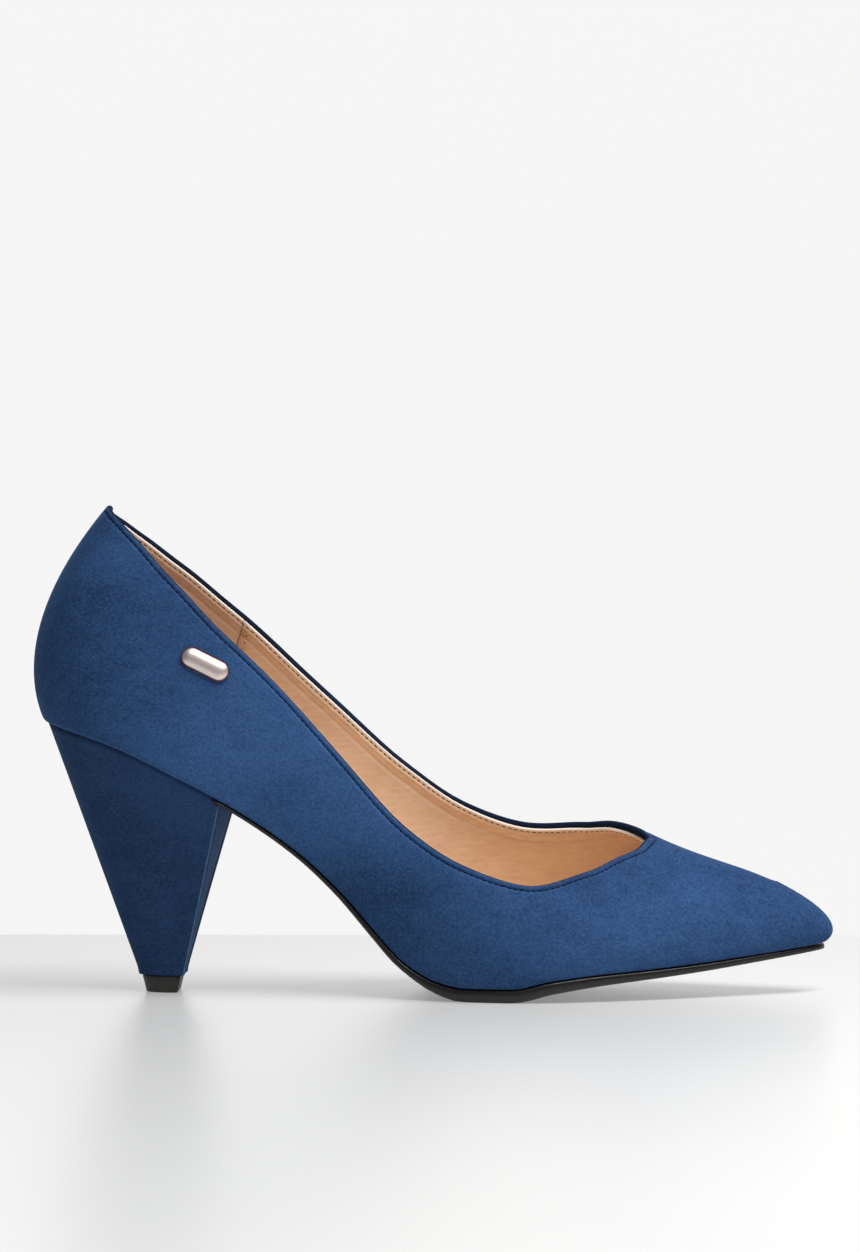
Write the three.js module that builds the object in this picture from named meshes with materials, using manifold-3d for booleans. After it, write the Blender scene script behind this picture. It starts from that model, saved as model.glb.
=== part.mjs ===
// A woman's pointed court shoe with a covered cone heel, for the right foot, in cemented construction.
// Millimetres, +Z up, +X towards the toe, -Y towards the outer (lateral) side of the foot.
// The outside of the upper is one master surface. Every layer of the shoe is that surface moved
// inwards by its own depth, and every bottom piece follows the same bottom profile.
import * as THREE from "three";
import { mergeVertices } from "three/addons/utils/BufferGeometryUtils.js";
import Module from "manifold-3d";

const wasm = await Module();
wasm.setup();

// ---------- Driving dimensions ----------
const SHOE_LENGTH = 240; // back curve to toe tip, along the floor
const BALL_WIDTH = 72.5; // across the ball, at the edge of the sole
const HEEL_RISE = 78; // seat above tread, at the back
const TOE_SPRING = 11; // toe above tread
const WALL_HEIGHT = 64; // seat to the top of the back seam

const GAP = 0.3; // between pieces that are glued or rest on each other
const UPPER_THICKNESS = 1.2;
const STIFFENER_THICKNESS = 0.6;
const LINING_THICKNESS = 0.9;
const INSOLE_THICKNESS = 1.8;
const SHANK_BOARD_THICKNESS = 2.2;
const FOREFOOT_PAD_THICKNESS = 2.2;
const HEEL_PAD_THICKNESS = 2.4;
const SOCK_THICKNESS = 0.8;
const FILLER_THICKNESS = 2.4;
const TREAD_THICKNESS = 3.6; // outsole at the ball
const TOE_EDGE_THICKNESS = 1.4; // outsole at the toe
const WAIST_EDGE_THICKNESS = 0.9; // outsole under the arch
const UPPER_MARGIN = 12; // upper turned under the insole board
const LINING_MARGIN = 8;
const STIFFENER_MARGIN = 6;

const BREAST_TOP_X = 57; // front face of the heel, where it meets the sole
const BREAST_FOOT_X = 45.3; // and just above the top piece
const HEEL_FOOT_BACK_X = 31.8; // back of the heel, just above the top piece
const HEEL_FOOT_WIDTH = 16;
const HEEL_COVER_THICKNESS = 0.8;
const HEEL_SEAT_INSET = 1.2; // heel inside the edge of the upper
const HEEL_WRAP = 4.5; // cover turned on to the breast
const SOLE_TUCK = 1.2; // outsole running under the front of the heel
const TOP_PIECE_HEIGHT = 5;
const TOP_PIECE_INSET = 0.7; // inside the cover, at its upper face
const TOP_PIECE_TAPER = 1.1; // further in, at the floor
const DOWEL_RADIUS = 1.5;
const DOWEL_LENGTH = 26;

const SHANK_WIDTH = 11;
const SHANK_THICKNESS = 1.2;
const SHANK_START_X = 22;
const SHANK_END_X = 112;
const SHANK_BOARD_END_X = 118;
const FILLER_START_X = 66;
const HEEL_PAD_END_X = 48;
const HEEL_PAD_INSET = 7;
const FOREFOOT_PAD_END_X = 188;
const FOREFOOT_PAD_INSET = 7.5;
const INSOLE_CLEARANCE = 0.9; // board inside the lining
const SOCK_INSET = 2.4; // sock inside the lining
const SCREW_X = 34;
const SCREW_RADIUS = 2;
const SCREW_LENGTH = 20;
const SCREW_HEAD = 0.6;
const NAIL_RADIUS = 0.9;
const NAIL_LENGTH = 14;
const RIVET_RADIUS = 1.6;
const RIVET_HEAD = 0.4;
const HOLE_CLEARANCE = 0.3;

const BADGE = { length: 15, width: 6, thickness: 1.2, angle: -27, prongRadius: 0.5, prongSpacing: 8,
  washerRadius: 1.7 };

// Depths of each layer below the master surface, outer face first.
const STIFFENER_DEPTH = UPPER_THICKNESS + GAP;
const LINING_DEPTH = STIFFENER_DEPTH + STIFFENER_THICKNESS + GAP;
const INSOLE_DEPTH = LINING_DEPTH + LINING_THICKNESS + GAP;
const SHANK_DEPTH = INSOLE_DEPTH + INSOLE_THICKNESS + GAP;
const PAD_DEPTH = SHANK_DEPTH + SHANK_BOARD_THICKNESS + GAP;

// ---------- The last, as graded stations ----------
// One row for each station from the back seam (0) to the toe tip (17). Lengths are graded from a last
// of BASE size. x0 outer inner: the edge of the sole. x1 out1 out1in up1: the bulge of the wall beyond
// and above it. x2 y2 y2in: the shoulder, where the wall turns over. xr upr: the ridge of the instep.
// slope and tilt: the lie of the surface on the ridge, fore-and-aft and across. drop: shoulder below it.
const BASE = { length: 240, ballWidth: 72.5, wallHeight: 64 };
const STATIONS = [
  [3.2, 0, 0, -4, 0, 0, 15.5, -3.2, 0, 0, 46, 88.5, 0, 0, 42],
  [6, 11, 11, -1, 1, 1, 15.8, -0.6, 9, 9, 46.3, 89.3, 0, 0.02, 42],
  [13.5, 19.5, 19.5, 8, 2, 2, 16.8, 7.2, 17, 17, 47.2, 91.3, 0, 0.05, 40.5],
  [26, 24.8, 24.8, 22.5, 2.7, 2.7, 17.5, 22, 21, 21, 49.5, 94, 0, 0.1, 38],
  [42, 25.6, 25.2, 40, 2.9, 2.9, 20.3, 40, 21.5, 21.5, 54, 96, 0, 0.14, 33],
  [60, 24, 22, 59, 4, 4.5, 21.5, 58, 24, 24, 62.5, 95, 0, 0.17, 31],
  [79, 22.3, 18, 78.5, 5.2, 6, 22.4, 76, 26, 25, 75, 92.4, 0, 0.2, 33],
  [96, 23, 17, 95.5, 6, 7.5, 22.3, 93, 29, 27, 91, 90.3, 0, 0.22, 32],
  [113, 27.5, 21, 113, 5.5, 8, 24.3, 110.5, 32, 30, 108.5, 90.3, 0, 0.25, 26],
  [131, 34, 30.5, 131, 4, 6, 20, 128, 34, 33, 127, 79, 0, 0.27, 16],
  [148, 36.5, 36, 148, 3.5, 4.5, 15.4, 147, 32, 32, 146, 62.4, 0, 0.28, 8],
  [166, 34, 35.5, 166, 3, 4, 12.8, 166, 25, 26, 165.5, 48.3, -0.5, 0.32, 0],
  [184, 28, 30.5, 184, 3.5, 3.5, 12.1, 184.5, 17, 19, 184.2, 37.6, -0.4, 0.34, 0],
  [202, 20.5, 23, 202, 3, 3, 10, 202, 13.5, 15, 200, 30, -0.3, 0.2, 0],
  [217, 13.5, 15.5, 217.5, 3, 3, 7.7, 216.5, 10.5, 11.5, 213, 24.2, -0.42, 0.12, 0],
  [228, 8.5, 10, 230.5, 2.5, 2.5, 6.4, 228, 7.5, 8.2, 219.5, 20.4, -0.5, 0.06, 0],
  [234.5, 4.4, 5.4, 240, 1.4, 1.4, 5.2, 233, 4.2, 4.6, 221.9, 18.7, -0.5, 0.02, 0],
  [236.8, 0, 0, 244, 0, 0, 4.7, 235, 0, 0, 222.6, 18.3, -0.5, 0, 0],
];
const LAST_STATION = STATIONS.length - 1;
const THROAT_STATION = 12; // the point of the V
// How far up each section the top edge lies, at stations from the back seam to the throat.
const TOPLINE_OUTER = [
  [0, 0.805], [1, 0.795], [2, 0.77], [3, 0.72], [4, 0.64], [5, 0.578], [6, 0.56], [7, 0.543],
  [8, 0.502], [9, 0.48], [10, 0.485], [11, 0.582], [11.5, 0.715], [11.8, 0.83], [12, 1],
];
const TOPLINE_INNER = [
  [0, 0.805], [1, 0.79], [2, 0.765], [3, 0.72], [4, 0.665], [5, 0.628], [6, 0.622], [7, 0.632],
  [8, 0.612], [9, 0.58], [10, 0.598], [11, 0.672], [11.5, 0.79], [11.8, 0.885], [12, 1],
];

// Bottom profile as shares of the rise behind the tread and of the spring before it, flat between them.
const TREAD_LEVEL = TREAD_THICKNESS + GAP;
const BOTTOM_PROFILE = [
  [0, 1, 0], [24, 0.905, 0], [46, 0.77, 0], [63, 0.65, 0], [80, 0.5, 0], [92, 0.36, 0], [104, 0.188, 0],
  [110, 0.105, 0], [116, 0.05, 0], [122, 0.017, 0], [129, 0, 0], [143, 0, 0], [154, 0, 0.2],
  [168, 0, 0.36], [183, 0, 0.46], [198, 0, 0.58], [214, 0, 0.74], [237, 0, 1],
];

const gradeX = (x) => (x * SHOE_LENGTH) / BASE.length;
const gradeY = (y) => (y * BALL_WIDTH) / BASE.ballWidth;
const gradeUp = (up) => (up * WALL_HEIGHT) / BASE.wallHeight;

// Smooth curve through [x, value] points that never overshoots them (Fritsch-Carlson slopes).
function steadyCurve(points) {
  const xs = points.map((p) => p[0]);
  const ys = points.map((p) => p[1]);
  const secants = xs.slice(1).map((x, i) => (ys[i + 1] - ys[i]) / (x - xs[i]));
  const slopes = xs.map((_, i) => {
    if (i === 0) return secants[0];
    if (i === secants.length) return secants[i - 1];
    const [a, b] = [secants[i - 1], secants[i]];
    return a * b <= 0 ? 0 : (2 * a * b) / (a + b);
  });
  return (x) => {
    let i = 0;
    while (i < secants.length - 1 && x > xs[i + 1]) i++;
    const span = xs[i + 1] - xs[i];
    const t = THREE.MathUtils.clamp((x - xs[i]) / span, 0, 1);
    const [t2, t3] = [t * t, t * t * t];
    return (
      ys[i] * (2 * t3 - 3 * t2 + 1) +
      slopes[i] * span * (t3 - 2 * t2 + t) +
      ys[i + 1] * (3 * t2 - 2 * t3) +
      slopes[i + 1] * span * (t3 - t2)
    );
  };
}

const profileHeight = (rise, spring) => TREAD_LEVEL + rise * HEEL_RISE + spring * TOE_SPRING;
const bottomZ = steadyCurve(
  BOTTOM_PROFILE.map(([x, rise, spring]) => [gradeX(x), profileHeight(rise, spring)]),
);
const PROBE = 0.01;
const bottomSlope = (x) => (bottomZ(x + PROBE) - bottomZ(x - PROBE)) / (2 * PROBE);
// Unit vector square to the bottom profile, pointing into the shoe.
const bottomUp = (x) => new THREE.Vector3(-bottomSlope(x), 0, 1).normalize();
const atDepth = (x, y, depth) => new THREE.Vector3(x, y, bottomZ(x)).addScaledVector(bottomUp(x), depth);

// Stations round the whole shoe: 0 the back seam, rising along the outer side to the toe at
// LAST_STATION, then back along the inner side as negative numbers.
const LOOP_COUNT = 2 * LAST_STATION;
const loopRow = (i) => {
  const inner = i > LAST_STATION;
  return { row: STATIONS[inner ? LOOP_COUNT - i : i], inner };
};

// Control points whose closed uniform cubic B-spline passes through the given points.
function controlNet(points) {
  let net = points.map((p) => p.clone());
  for (let pass = 0; pass < 40; pass++)
    net = net.map((c, i) => {
      const before = net[(i + net.length - 1) % net.length];
      const after = net[(i + 1) % net.length];
      const reached = before.clone().add(after).addScaledVector(c, 4).divideScalar(6);
      return c.clone().add(points[i]).sub(reached);
    });
  return net;
}

function onLoop(net, station) {
  const s = ((station % LOOP_COUNT) + LOOP_COUNT) % LOOP_COUNT;
  const i = Math.floor(s);
  const t = s - i;
  const weights = [(1 - t) ** 3, 3 * t ** 3 - 6 * t * t + 4, -3 * t ** 3 + 3 * t * t + 3 * t + 1, t ** 3];
  const point = new THREE.Vector3();
  weights.forEach((w, k) => point.addScaledVector(net[(i + k - 1 + LOOP_COUNT) % LOOP_COUNT], w / 6));
  return point;
}

const side = (inner) => (inner ? 1 : -1);
const loops = { edge: [], bulge: [], shoulder: [], ridge: [], lie: [] };
for (let i = 0; i < LOOP_COUNT; i++) {
  const { row, inner } = loopRow(i);
  const [x0, yOut, yIn, x1, bOut, bIn, up1, x2, sOut, sIn, xr, upr, slope, tilt, drop] = row;
  const y0 = gradeY(inner ? yIn : yOut);
  const y1 = gradeY((inner ? yIn : yOut) + (inner ? bIn : bOut));
  const y2 = gradeY(inner ? sIn : sOut);
  const foot = bottomZ(gradeX(x0));
  const ridgeZ = foot + gradeUp(upr);
  const shoulderZ = ridgeZ + slope * gradeX(x2 - xr) + side(inner) * tilt * y2 - gradeUp(drop);
  loops.edge.push(new THREE.Vector3(gradeX(x0), side(inner) * y0, foot));
  loops.bulge.push(new THREE.Vector3(gradeX(x1), side(inner) * y1, foot + gradeUp(up1)));
  loops.shoulder.push(new THREE.Vector3(gradeX(x2), side(inner) * y2, shoulderZ));
  loops.ridge.push(new THREE.Vector3(gradeX(xr), 0, ridgeZ));
  loops.lie.push(new THREE.Vector3(slope, tilt, 0));
}
const nets = Object.fromEntries(Object.entries(loops).map(([name, points]) => [name, controlNet(points)]));

// The edge of the sole, with its height taken from the bottom profile.
function edgePoint(station) {
  const p = onLoop(nets.edge, station);
  p.z = bottomZ(p.x);
  return p;
}

// A point of the master surface: a cubic Bezier section from the sole edge (h = 0) to the ridge (h = 1).
function masterPoint(station, h) {
  const parts = [edgePoint(station), onLoop(nets.bulge, station), onLoop(nets.shoulder, station)];
  const ridge = onLoop(nets.ridge, Math.abs(station));
  ridge.y = 0;
  parts.push(ridge);
  const g = 1 - h;
  const weights = [g ** 3, 3 * h * g * g, 3 * h * h * g, h ** 3];
  return parts.reduce((sum, p, i) => sum.addScaledVector(p, weights[i]), new THREE.Vector3());
}

// Unit normal of the master surface, pointing out of the shoe.
function masterNormal(station, h) {
  if (h > 1 - PROBE) {
    const lie = onLoop(nets.lie, Math.abs(station));
    return new THREE.Vector3(-lie.x, -lie.y, 1).normalize();
  }
  const low = Math.max(0, h - PROBE);
  const along = masterPoint(station + PROBE, h).sub(masterPoint(station - PROBE, h));
  const upwards = masterPoint(station, h + PROBE).sub(masterPoint(station, low));
  return along.cross(upwards).normalize();
}

const wallPoint = (station, h, depth) =>
  masterPoint(station, h).addScaledVector(masterNormal(station, h), -depth);

// The same by a share of the way from the sole edge to the top edge, between the rows that every layer
// has in common, so that neighbouring layers have matching facets.
const WALL_ROWS = 8;
function layerPoint(station, share, depth) {
  const high = toplineShare(station);
  const row = Math.min(Math.floor(share * WALL_ROWS), WALL_ROWS - 1);
  const rowPoint = (j) =>
    j === 0 ? cornerPoint(station, depth) : wallPoint(station, (high * j) / WALL_ROWS, depth);
  return rowPoint(row).lerp(rowPoint(row + 1), share * WALL_ROWS - row);
}

// Where a layer turns under the insole board: its wall and its margin meet in a mitre.
function cornerPoint(station, depth) {
  const edge = edgePoint(station);
  const up = bottomUp(edge.x);
  const inwards = masterNormal(station, 0).negate();
  const mitre = up.clone().add(inwards).divideScalar(1 + up.dot(inwards));
  return edge.addScaledVector(mitre, depth);
}

// The outline on the bottom profile of a piece whose edge stands inside a layer of the given depth.
function bottomOutline(station, depth) {
  const { x } = edgePoint(station);
  return cornerPoint(station, depth).addScaledVector(bottomUp(x), -depth);
}

// The middle line of the bottom, towards which each margin is turned.
const SPINE_BACK_X = 27;
const SPINE_FRONT_X = 221;
const MOST_OF_ROOM = 0.72; // share of the way that the widest margin may go
function marginOutline(station, reach, clearance = 0) {
  const edge = edgePoint(station);
  const spineX = THREE.MathUtils.clamp(edge.x, gradeX(SPINE_BACK_X), gradeX(SPINE_FRONT_X));
  const room = Math.hypot(edge.x - spineX, edge.y);
  const widest = Math.min(UPPER_MARGIN / room, MOST_OF_ROOM);
  const share = (widest * reach) / UPPER_MARGIN + clearance / room;
  const x = THREE.MathUtils.lerp(edge.x, spineX, share);
  return { x, y: edge.y * (1 - share) };
}

function marginPoint(station, reach, depth) {
  const { x, y } = marginOutline(station, reach);
  return atDepth(x, y, depth);
}

// The top edge as a share of each section.
const toplineOuter = steadyCurve(TOPLINE_OUTER);
const toplineInner = steadyCurve(TOPLINE_INNER);
function toplineShare(station) {
  const s = Math.abs(station);
  if (s >= THROAT_STATION) return 1;
  return station < 0 ? toplineInner(s) : toplineOuter(s);
}

// ---------- Mesh helpers ----------
const WELD = 1e-3; // points closer than this are one
function geometryOf(triangles) {
  const positions = new Float32Array(triangles.flat().flatMap((p) => [p.x, p.y, p.z]));
  const soup = new THREE.BufferGeometry().setAttribute("position", new THREE.BufferAttribute(positions, 3));
  const merged = mergeVertices(soup, WELD);
  const index = Array.from(merged.index.array);
  const kept = [];
  for (let i = 0; i < index.length; i += 3) {
    const [a, b, c] = index.slice(i, i + 3);
    if (a !== b && b !== c && c !== a) kept.push(a, b, c);
  }
  merged.setIndex(kept);
  return signedVolume(merged) < 0 ? turnedInsideOut(merged) : merged;
}

function signedVolume(geometry) {
  const { attributes, index } = geometry;
  const at = (i) => new THREE.Vector3().fromBufferAttribute(attributes.position, index.array[i]);
  let volume = 0;
  for (let i = 0; i < geometry.index.count; i += 3) volume += at(i).dot(at(i + 1).cross(at(i + 2)));
  return volume / 6;
}

function turnedInsideOut(geometry) {
  const index = geometry.index.array;
  for (let i = 0; i < index.length; i += 3) [index[i + 1], index[i + 2]] = [index[i + 2], index[i + 1]];
  return geometry;
}

const quad = (a, b, c, d) => [[a, b, c], [a, c, d]];

// A closed solid between two sheets of points. Columns run round the shoe, and each holds an outer and
// an inner row of points from bottom to top. A column marked joined meets its mirror column on the ridge.
function shell(columns, closed) {
  const triangles = [];
  const last = columns[0].outer.length - 1;
  const pairs = closed ? columns.length : columns.length - 1;
  for (let i = 0; i < pairs; i++) {
    const a = columns[i];
    const b = columns[(i + 1) % columns.length];
    for (let j = 0; j < last; j++) {
      triangles.push(...quad(a.outer[j], b.outer[j], b.outer[j + 1], a.outer[j + 1]));
      triangles.push(...quad(a.inner[j + 1], b.inner[j + 1], b.inner[j], a.inner[j]));
    }
    triangles.push(...quad(a.inner[0], b.inner[0], b.outer[0], a.outer[0]));
    if (!(a.joined && b.joined))
      triangles.push(...quad(a.outer[last], b.outer[last], b.inner[last], a.inner[last]));
  }
  if (!closed)
    for (const [end, flip] of [[columns[0], false], [columns[columns.length - 1], true]])
      for (let j = 0; j < last; j++) {
        const cap = quad(end.inner[j], end.outer[j], end.outer[j + 1], end.inner[j + 1]);
        triangles.push(...(flip ? cap.map((t) => t.slice().reverse()) : cap));
      }
  return geometryOf(triangles);
}

// Whole and half stations, with finer ones where the bottom or the top edge bends most.
const FINE_STATIONS = [8.25, 8.75, 9.25, 9.75, 10.75, 11.25, 11.75];
function stationsBetween(from, to) {
  const marks = [];
  for (let s = -LAST_STATION; s <= LAST_STATION; s += 0.5) marks.push(s);
  const extra = FINE_STATIONS.flatMap((s) => [s, -s]);
  const all = [...new Set([from, to, ...marks, ...extra])].sort((a, b) => a - b);
  return all.filter((s) => s >= from && s <= to);
}

const steps = (count) => Array.from({ length: count + 1 }, (_, i) => i / count);

// One column of a lasted layer: its margin, then its wall between two shares of the way to the top edge.
function lastedColumn(station, depth, thickness, margin, low = 0, high = 1) {
  const shares = steps(WALL_ROWS).map((t) => THREE.MathUtils.clamp(t, low, high));
  const sheet = (d) => [
    ...(margin > 0 ? [marginPoint(station, margin, d)] : []),
    ...shares.map((share) => layerPoint(station, share, d)),
  ];
  const joined = Math.abs(station) >= THROAT_STATION && high === 1;
  return { outer: sheet(depth), inner: sheet(depth + thickness), joined };
}

// A plate that follows the bottom profile between the outer and the inner side of the shoe.
// edgeAt gives its outline on the profile, low and high the depths of its two faces along the shoe.
function plate(stations, edgeAt, low, high) {
  const columns = stations.map((s) => {
    const [a, b] = [edgeAt(s), edgeAt(-s)];
    const across = [a, { x: (a.x + b.x) / 2, y: (a.y + b.y) / 2 }, b];
    return {
      outer: across.map((p) => atDepth(p.x, p.y, high(p.x))),
      inner: across.map((p) => atDepth(p.x, p.y, low(p.x))),
    };
  });
  return shell(columns, false);
}

// ---------- Solids for cuts ----------
function solidOf(geometry) {
  const soup = geometry.index ? geometry.toNonIndexed() : geometry;
  const plain = new THREE.BufferGeometry().setAttribute("position", soup.getAttribute("position"));
  const bare = mergeVertices(plain, WELD);
  return new wasm.Manifold(new wasm.Mesh({
    numProp: 3,
    vertProperties: bare.attributes.position.array,
    triVerts: new Uint32Array(bare.index.array),
  }));
}

function geometryFrom(solid) {
  const mesh = solid.getMesh();
  return new THREE.BufferGeometry()
    .setAttribute("position", new THREE.BufferAttribute(new Float32Array(mesh.vertProperties), 3))
    .setIndex(new THREE.BufferAttribute(new Uint32Array(mesh.triVerts), 1));
}

const cut = (geometry, ...tools) =>
  geometryFrom(tools.reduce((solid, tool) => solid.subtract(solidOf(tool)), solidOf(geometry)));

// A turned solid standing on its axis: profile is [radius, height] pairs from bottom to top.
const ROUND = 12;
function turned(profile, segments = ROUND) {
  const points = profile.map(([r, z]) => new THREE.Vector2(r, z));
  return new THREE.LatheGeometry(points, segments).rotateX(Math.PI / 2);
}

// Moves geometry made along +Z so that its origin is at a point and its +Z along a direction.
function stood(geometry, point, direction) {
  const turn = new THREE.Quaternion().setFromUnitVectors(new THREE.Vector3(0, 0, 1), direction);
  return geometry.applyQuaternion(turn).translate(point.x, point.y, point.z);
}

// ---------- Materials ----------
const finish = (color, roughness, metalness = 0) =>
  new THREE.MeshStandardMaterial({ color, roughness, metalness });
const SUEDE = finish(0x2c4a78, 0.95);
const SOLE_RUBBER = finish(0x1d1c1b, 0.55);
const LINING_LEATHER = finish(0xd8ab86, 0.5);
const GRIP_SUEDE = finish(0xcf9c76, 0.9);
const BOARD = finish(0x9a8466, 0.9);
const STIFFENER = finish(0xd9d4c8, 0.7);
const FOAM = finish(0xe8e2cf, 1);
const CORK = finish(0xb58a5c, 0.95);
const STEEL = finish(0x9a9da0, 0.35, 1);
const PLASTIC = finish(0xe4e1d8, 0.5);
const ROSE_METAL = finish(0xe8c3b0, 0.2, 1);
const TAPE = finish(0xf0efe9, 0.8);

// ---------- Badge, on the outer wall ----------
const BADGE_STATION = 4.66;
const BADGE_SHARE = 0.455;
const badgeCentre = masterPoint(BADGE_STATION, BADGE_SHARE);
const badgeNormal = masterNormal(BADGE_STATION, BADGE_SHARE);

// A flat lozenge with round ends in the plane of the wall, from one depth to another.
function badgePlate(length, width, depth, thickness) {
  const radius = width / 2;
  const reach = length / 2 - radius;
  const outline = new THREE.Shape();
  outline.moveTo(-reach, -radius);
  outline.lineTo(reach, -radius);
  outline.absarc(reach, 0, radius, -Math.PI / 2, Math.PI / 2);
  outline.lineTo(-reach, radius);
  outline.absarc(-reach, 0, radius, Math.PI / 2, (3 * Math.PI) / 2);
  const settings = { depth: thickness, bevelEnabled: false, curveSegments: 8 };
  return new THREE.ExtrudeGeometry(outline, settings).translate(0, 0, depth);
}

// The badge's own frame: x along it, z out of the wall.
function inBadgeFrame(geometry) {
  const level = new THREE.Vector3(0, 0, 1).cross(badgeNormal).normalize();
  const along = level.clone().applyAxisAngle(badgeNormal, THREE.MathUtils.degToRad(BADGE.angle));
  const across = badgeNormal.clone().cross(along);
  const frame = new THREE.Matrix4().makeBasis(along, across, badgeNormal).setPosition(badgeCentre);
  return geometry.applyMatrix4(frame);
}

const prongPlaces = [-1, 1].map((end) => (end * BADGE.prongSpacing) / 2);
function badgeProngs(radius, from, to) {
  return prongPlaces.map((x) =>
    turned([[0, from], [radius, from], [radius, to], [0, to]]).translate(x, 0, 0));
}

function badgeGeometry() {
  const base = 2 * GAP;
  const tip = -STIFFENER_DEPTH - STIFFENER_THICKNESS;
  const face = solidOf(badgePlate(BADGE.length, BADGE.width, base, BADGE.thickness));
  const prongs = badgeProngs(BADGE.prongRadius, tip, base + BADGE.thickness / 2);
  return inBadgeFrame(geometryFrom(prongs.reduce((solid, prong) => solid.add(solidOf(prong)), face)));
}

// A pressed washer that a prong is clenched over, in the layer of the stiffeners.
function badgeWasherGeometry(place) {
  const [bore, rim] = [BADGE.prongRadius + HOLE_CLEARANCE, BADGE.washerRadius];
  const [low, high] = [-STIFFENER_DEPTH - STIFFENER_THICKNESS, -STIFFENER_DEPTH];
  const ring = turned([[bore, low], [rim, low], [rim, high], [bore, high], [bore, low]]);
  return inBadgeFrame(ring.translate(place, 0, 0));
}

// ---------- Upper and linings ----------
const ALL_ROUND = stationsBetween(-LAST_STATION, LAST_STATION - 0.5);

function upperGeometry() {
  const columns = ALL_ROUND.map((s) => lastedColumn(s, 0, UPPER_THICKNESS, UPPER_MARGIN));
  const holes = badgeProngs(BADGE.prongRadius + HOLE_CLEARANCE, -UPPER_THICKNESS - 2, 2).map(inBadgeFrame);
  return cut(shell(columns, true), ...holes);
}

const LINING_SEAM_STATION = 5.1;
const SEAM_HALF_GAP = 0.02; // in stations: about GAP across the seam
const LINING_TOP = 0.985; // just below the folded edge of the upper

function liningColumn(station) {
  const high = Math.abs(station) < THROAT_STATION ? LINING_TOP : 1;
  return lastedColumn(station, LINING_DEPTH, LINING_THICKNESS, LINING_MARGIN, 0, high);
}

function vampLiningGeometry() {
  const start = LINING_SEAM_STATION + SEAM_HALF_GAP;
  const outer = stationsBetween(start, LAST_STATION);
  const inner = stationsBetween(-LAST_STATION, -start).slice(1);
  return shell([...outer, ...inner].map(liningColumn), false);
}

function heelGripGeometry() {
  const end = LINING_SEAM_STATION - SEAM_HALF_GAP;
  return shell(stationsBetween(-end, end).map(liningColumn), false);
}

// ---------- Stiffeners between upper and lining ----------
const stiffenerColumn = (station, margin, low, high) =>
  lastedColumn(station, STIFFENER_DEPTH, STIFFENER_THICKNESS, margin, low, high);

const COUNTER_STATION = 5;
const COUNTER_BACK_HEIGHT = 0.7; // of the wall, at the back seam
const COUNTER_FRONT_HEIGHT = 0.3;
function counterGeometry() {
  const columns = stationsBetween(-COUNTER_STATION, COUNTER_STATION).map((s) => {
    const eased = Math.cos((s / COUNTER_STATION) * (Math.PI / 2));
    const high = THREE.MathUtils.lerp(COUNTER_FRONT_HEIGHT, COUNTER_BACK_HEIGHT, eased);
    return stiffenerColumn(s, STIFFENER_MARGIN, 0, high);
  });
  return shell(columns, false);
}

const PUFF_STATION = 14;
function toePuffGeometry() {
  const outer = stationsBetween(PUFF_STATION, LAST_STATION);
  const inner = stationsBetween(-LAST_STATION, -PUFF_STATION).slice(1);
  return shell([...outer, ...inner].map((s) => stiffenerColumn(s, STIFFENER_MARGIN, 0, 1)), false);
}

const TAPE_END_STATION = 10.75;
const TAPE_SHARES = [0.89, 0.98]; // of the way to the top edge
function toplineTapeGeometry() {
  const columns = stationsBetween(-TAPE_END_STATION, TAPE_END_STATION);
  return shell(columns.map((s) => stiffenerColumn(s, 0, ...TAPE_SHARES)), false);
}

const INTERLINING_STATIONS = [5.5, 10.5];
const INTERLINING_SHARES = [0.06, 0.86];
function interliningGeometry(sign) {
  const [from, to] = INTERLINING_STATIONS.map((s) => sign * s).sort((a, b) => a - b);
  return shell(stationsBetween(from, to).map((s) => stiffenerColumn(s, 0, ...INTERLINING_SHARES)), false);
}

// ---------- Bottom ----------
const stationAtX = (x) => {
  let [low, high] = [0, LAST_STATION];
  for (let i = 0; i < 40; i++) {
    const middle = (low + high) / 2;
    if (edgePoint(middle).x < x) low = middle;
    else high = middle;
  }
  return (low + high) / 2;
};

const outsoleThickness = steadyCurve([
  [gradeX(65), WAIST_EDGE_THICKNESS],
  [gradeX(80), WAIST_EDGE_THICKNESS + 0.2],
  [gradeX(112), TREAD_THICKNESS / 2],
  [gradeX(129), TREAD_THICKNESS],
  [gradeX(143), TREAD_THICKNESS],
  [gradeX(183), (TREAD_THICKNESS + TOE_EDGE_THICKNESS) / 2],
  [gradeX(237), TOE_EDGE_THICKNESS],
]);
function outsoleGeometry() {
  const start = stationAtX(BREAST_TOP_X - SOLE_TUCK);
  return plate(
    stationsBetween(start, LAST_STATION),
    (s) => bottomOutline(s, GAP),
    (x) => -GAP - outsoleThickness(x),
    () => -GAP,
  );
}

const insoleEdge = (s) => bottomOutline(s, INSOLE_DEPTH + INSOLE_CLEARANCE);
const INSOLE_END = LAST_STATION - 1.5; // blunt, just short of the toe
const SOCK_END = LAST_STATION - 2;

function fillerGeometry() {
  return plate(
    stationsBetween(stationAtX(gradeX(FILLER_START_X)), LAST_STATION - 1.5),
    (s) => marginOutline(s, UPPER_MARGIN, GAP),
    () => 0,
    () => FILLER_THICKNESS,
  );
}

const SOCK_LEAD = 3; // sock stays level this far past the heel pad
const SOCK_RAMP = 17; // and comes down over this length
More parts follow.
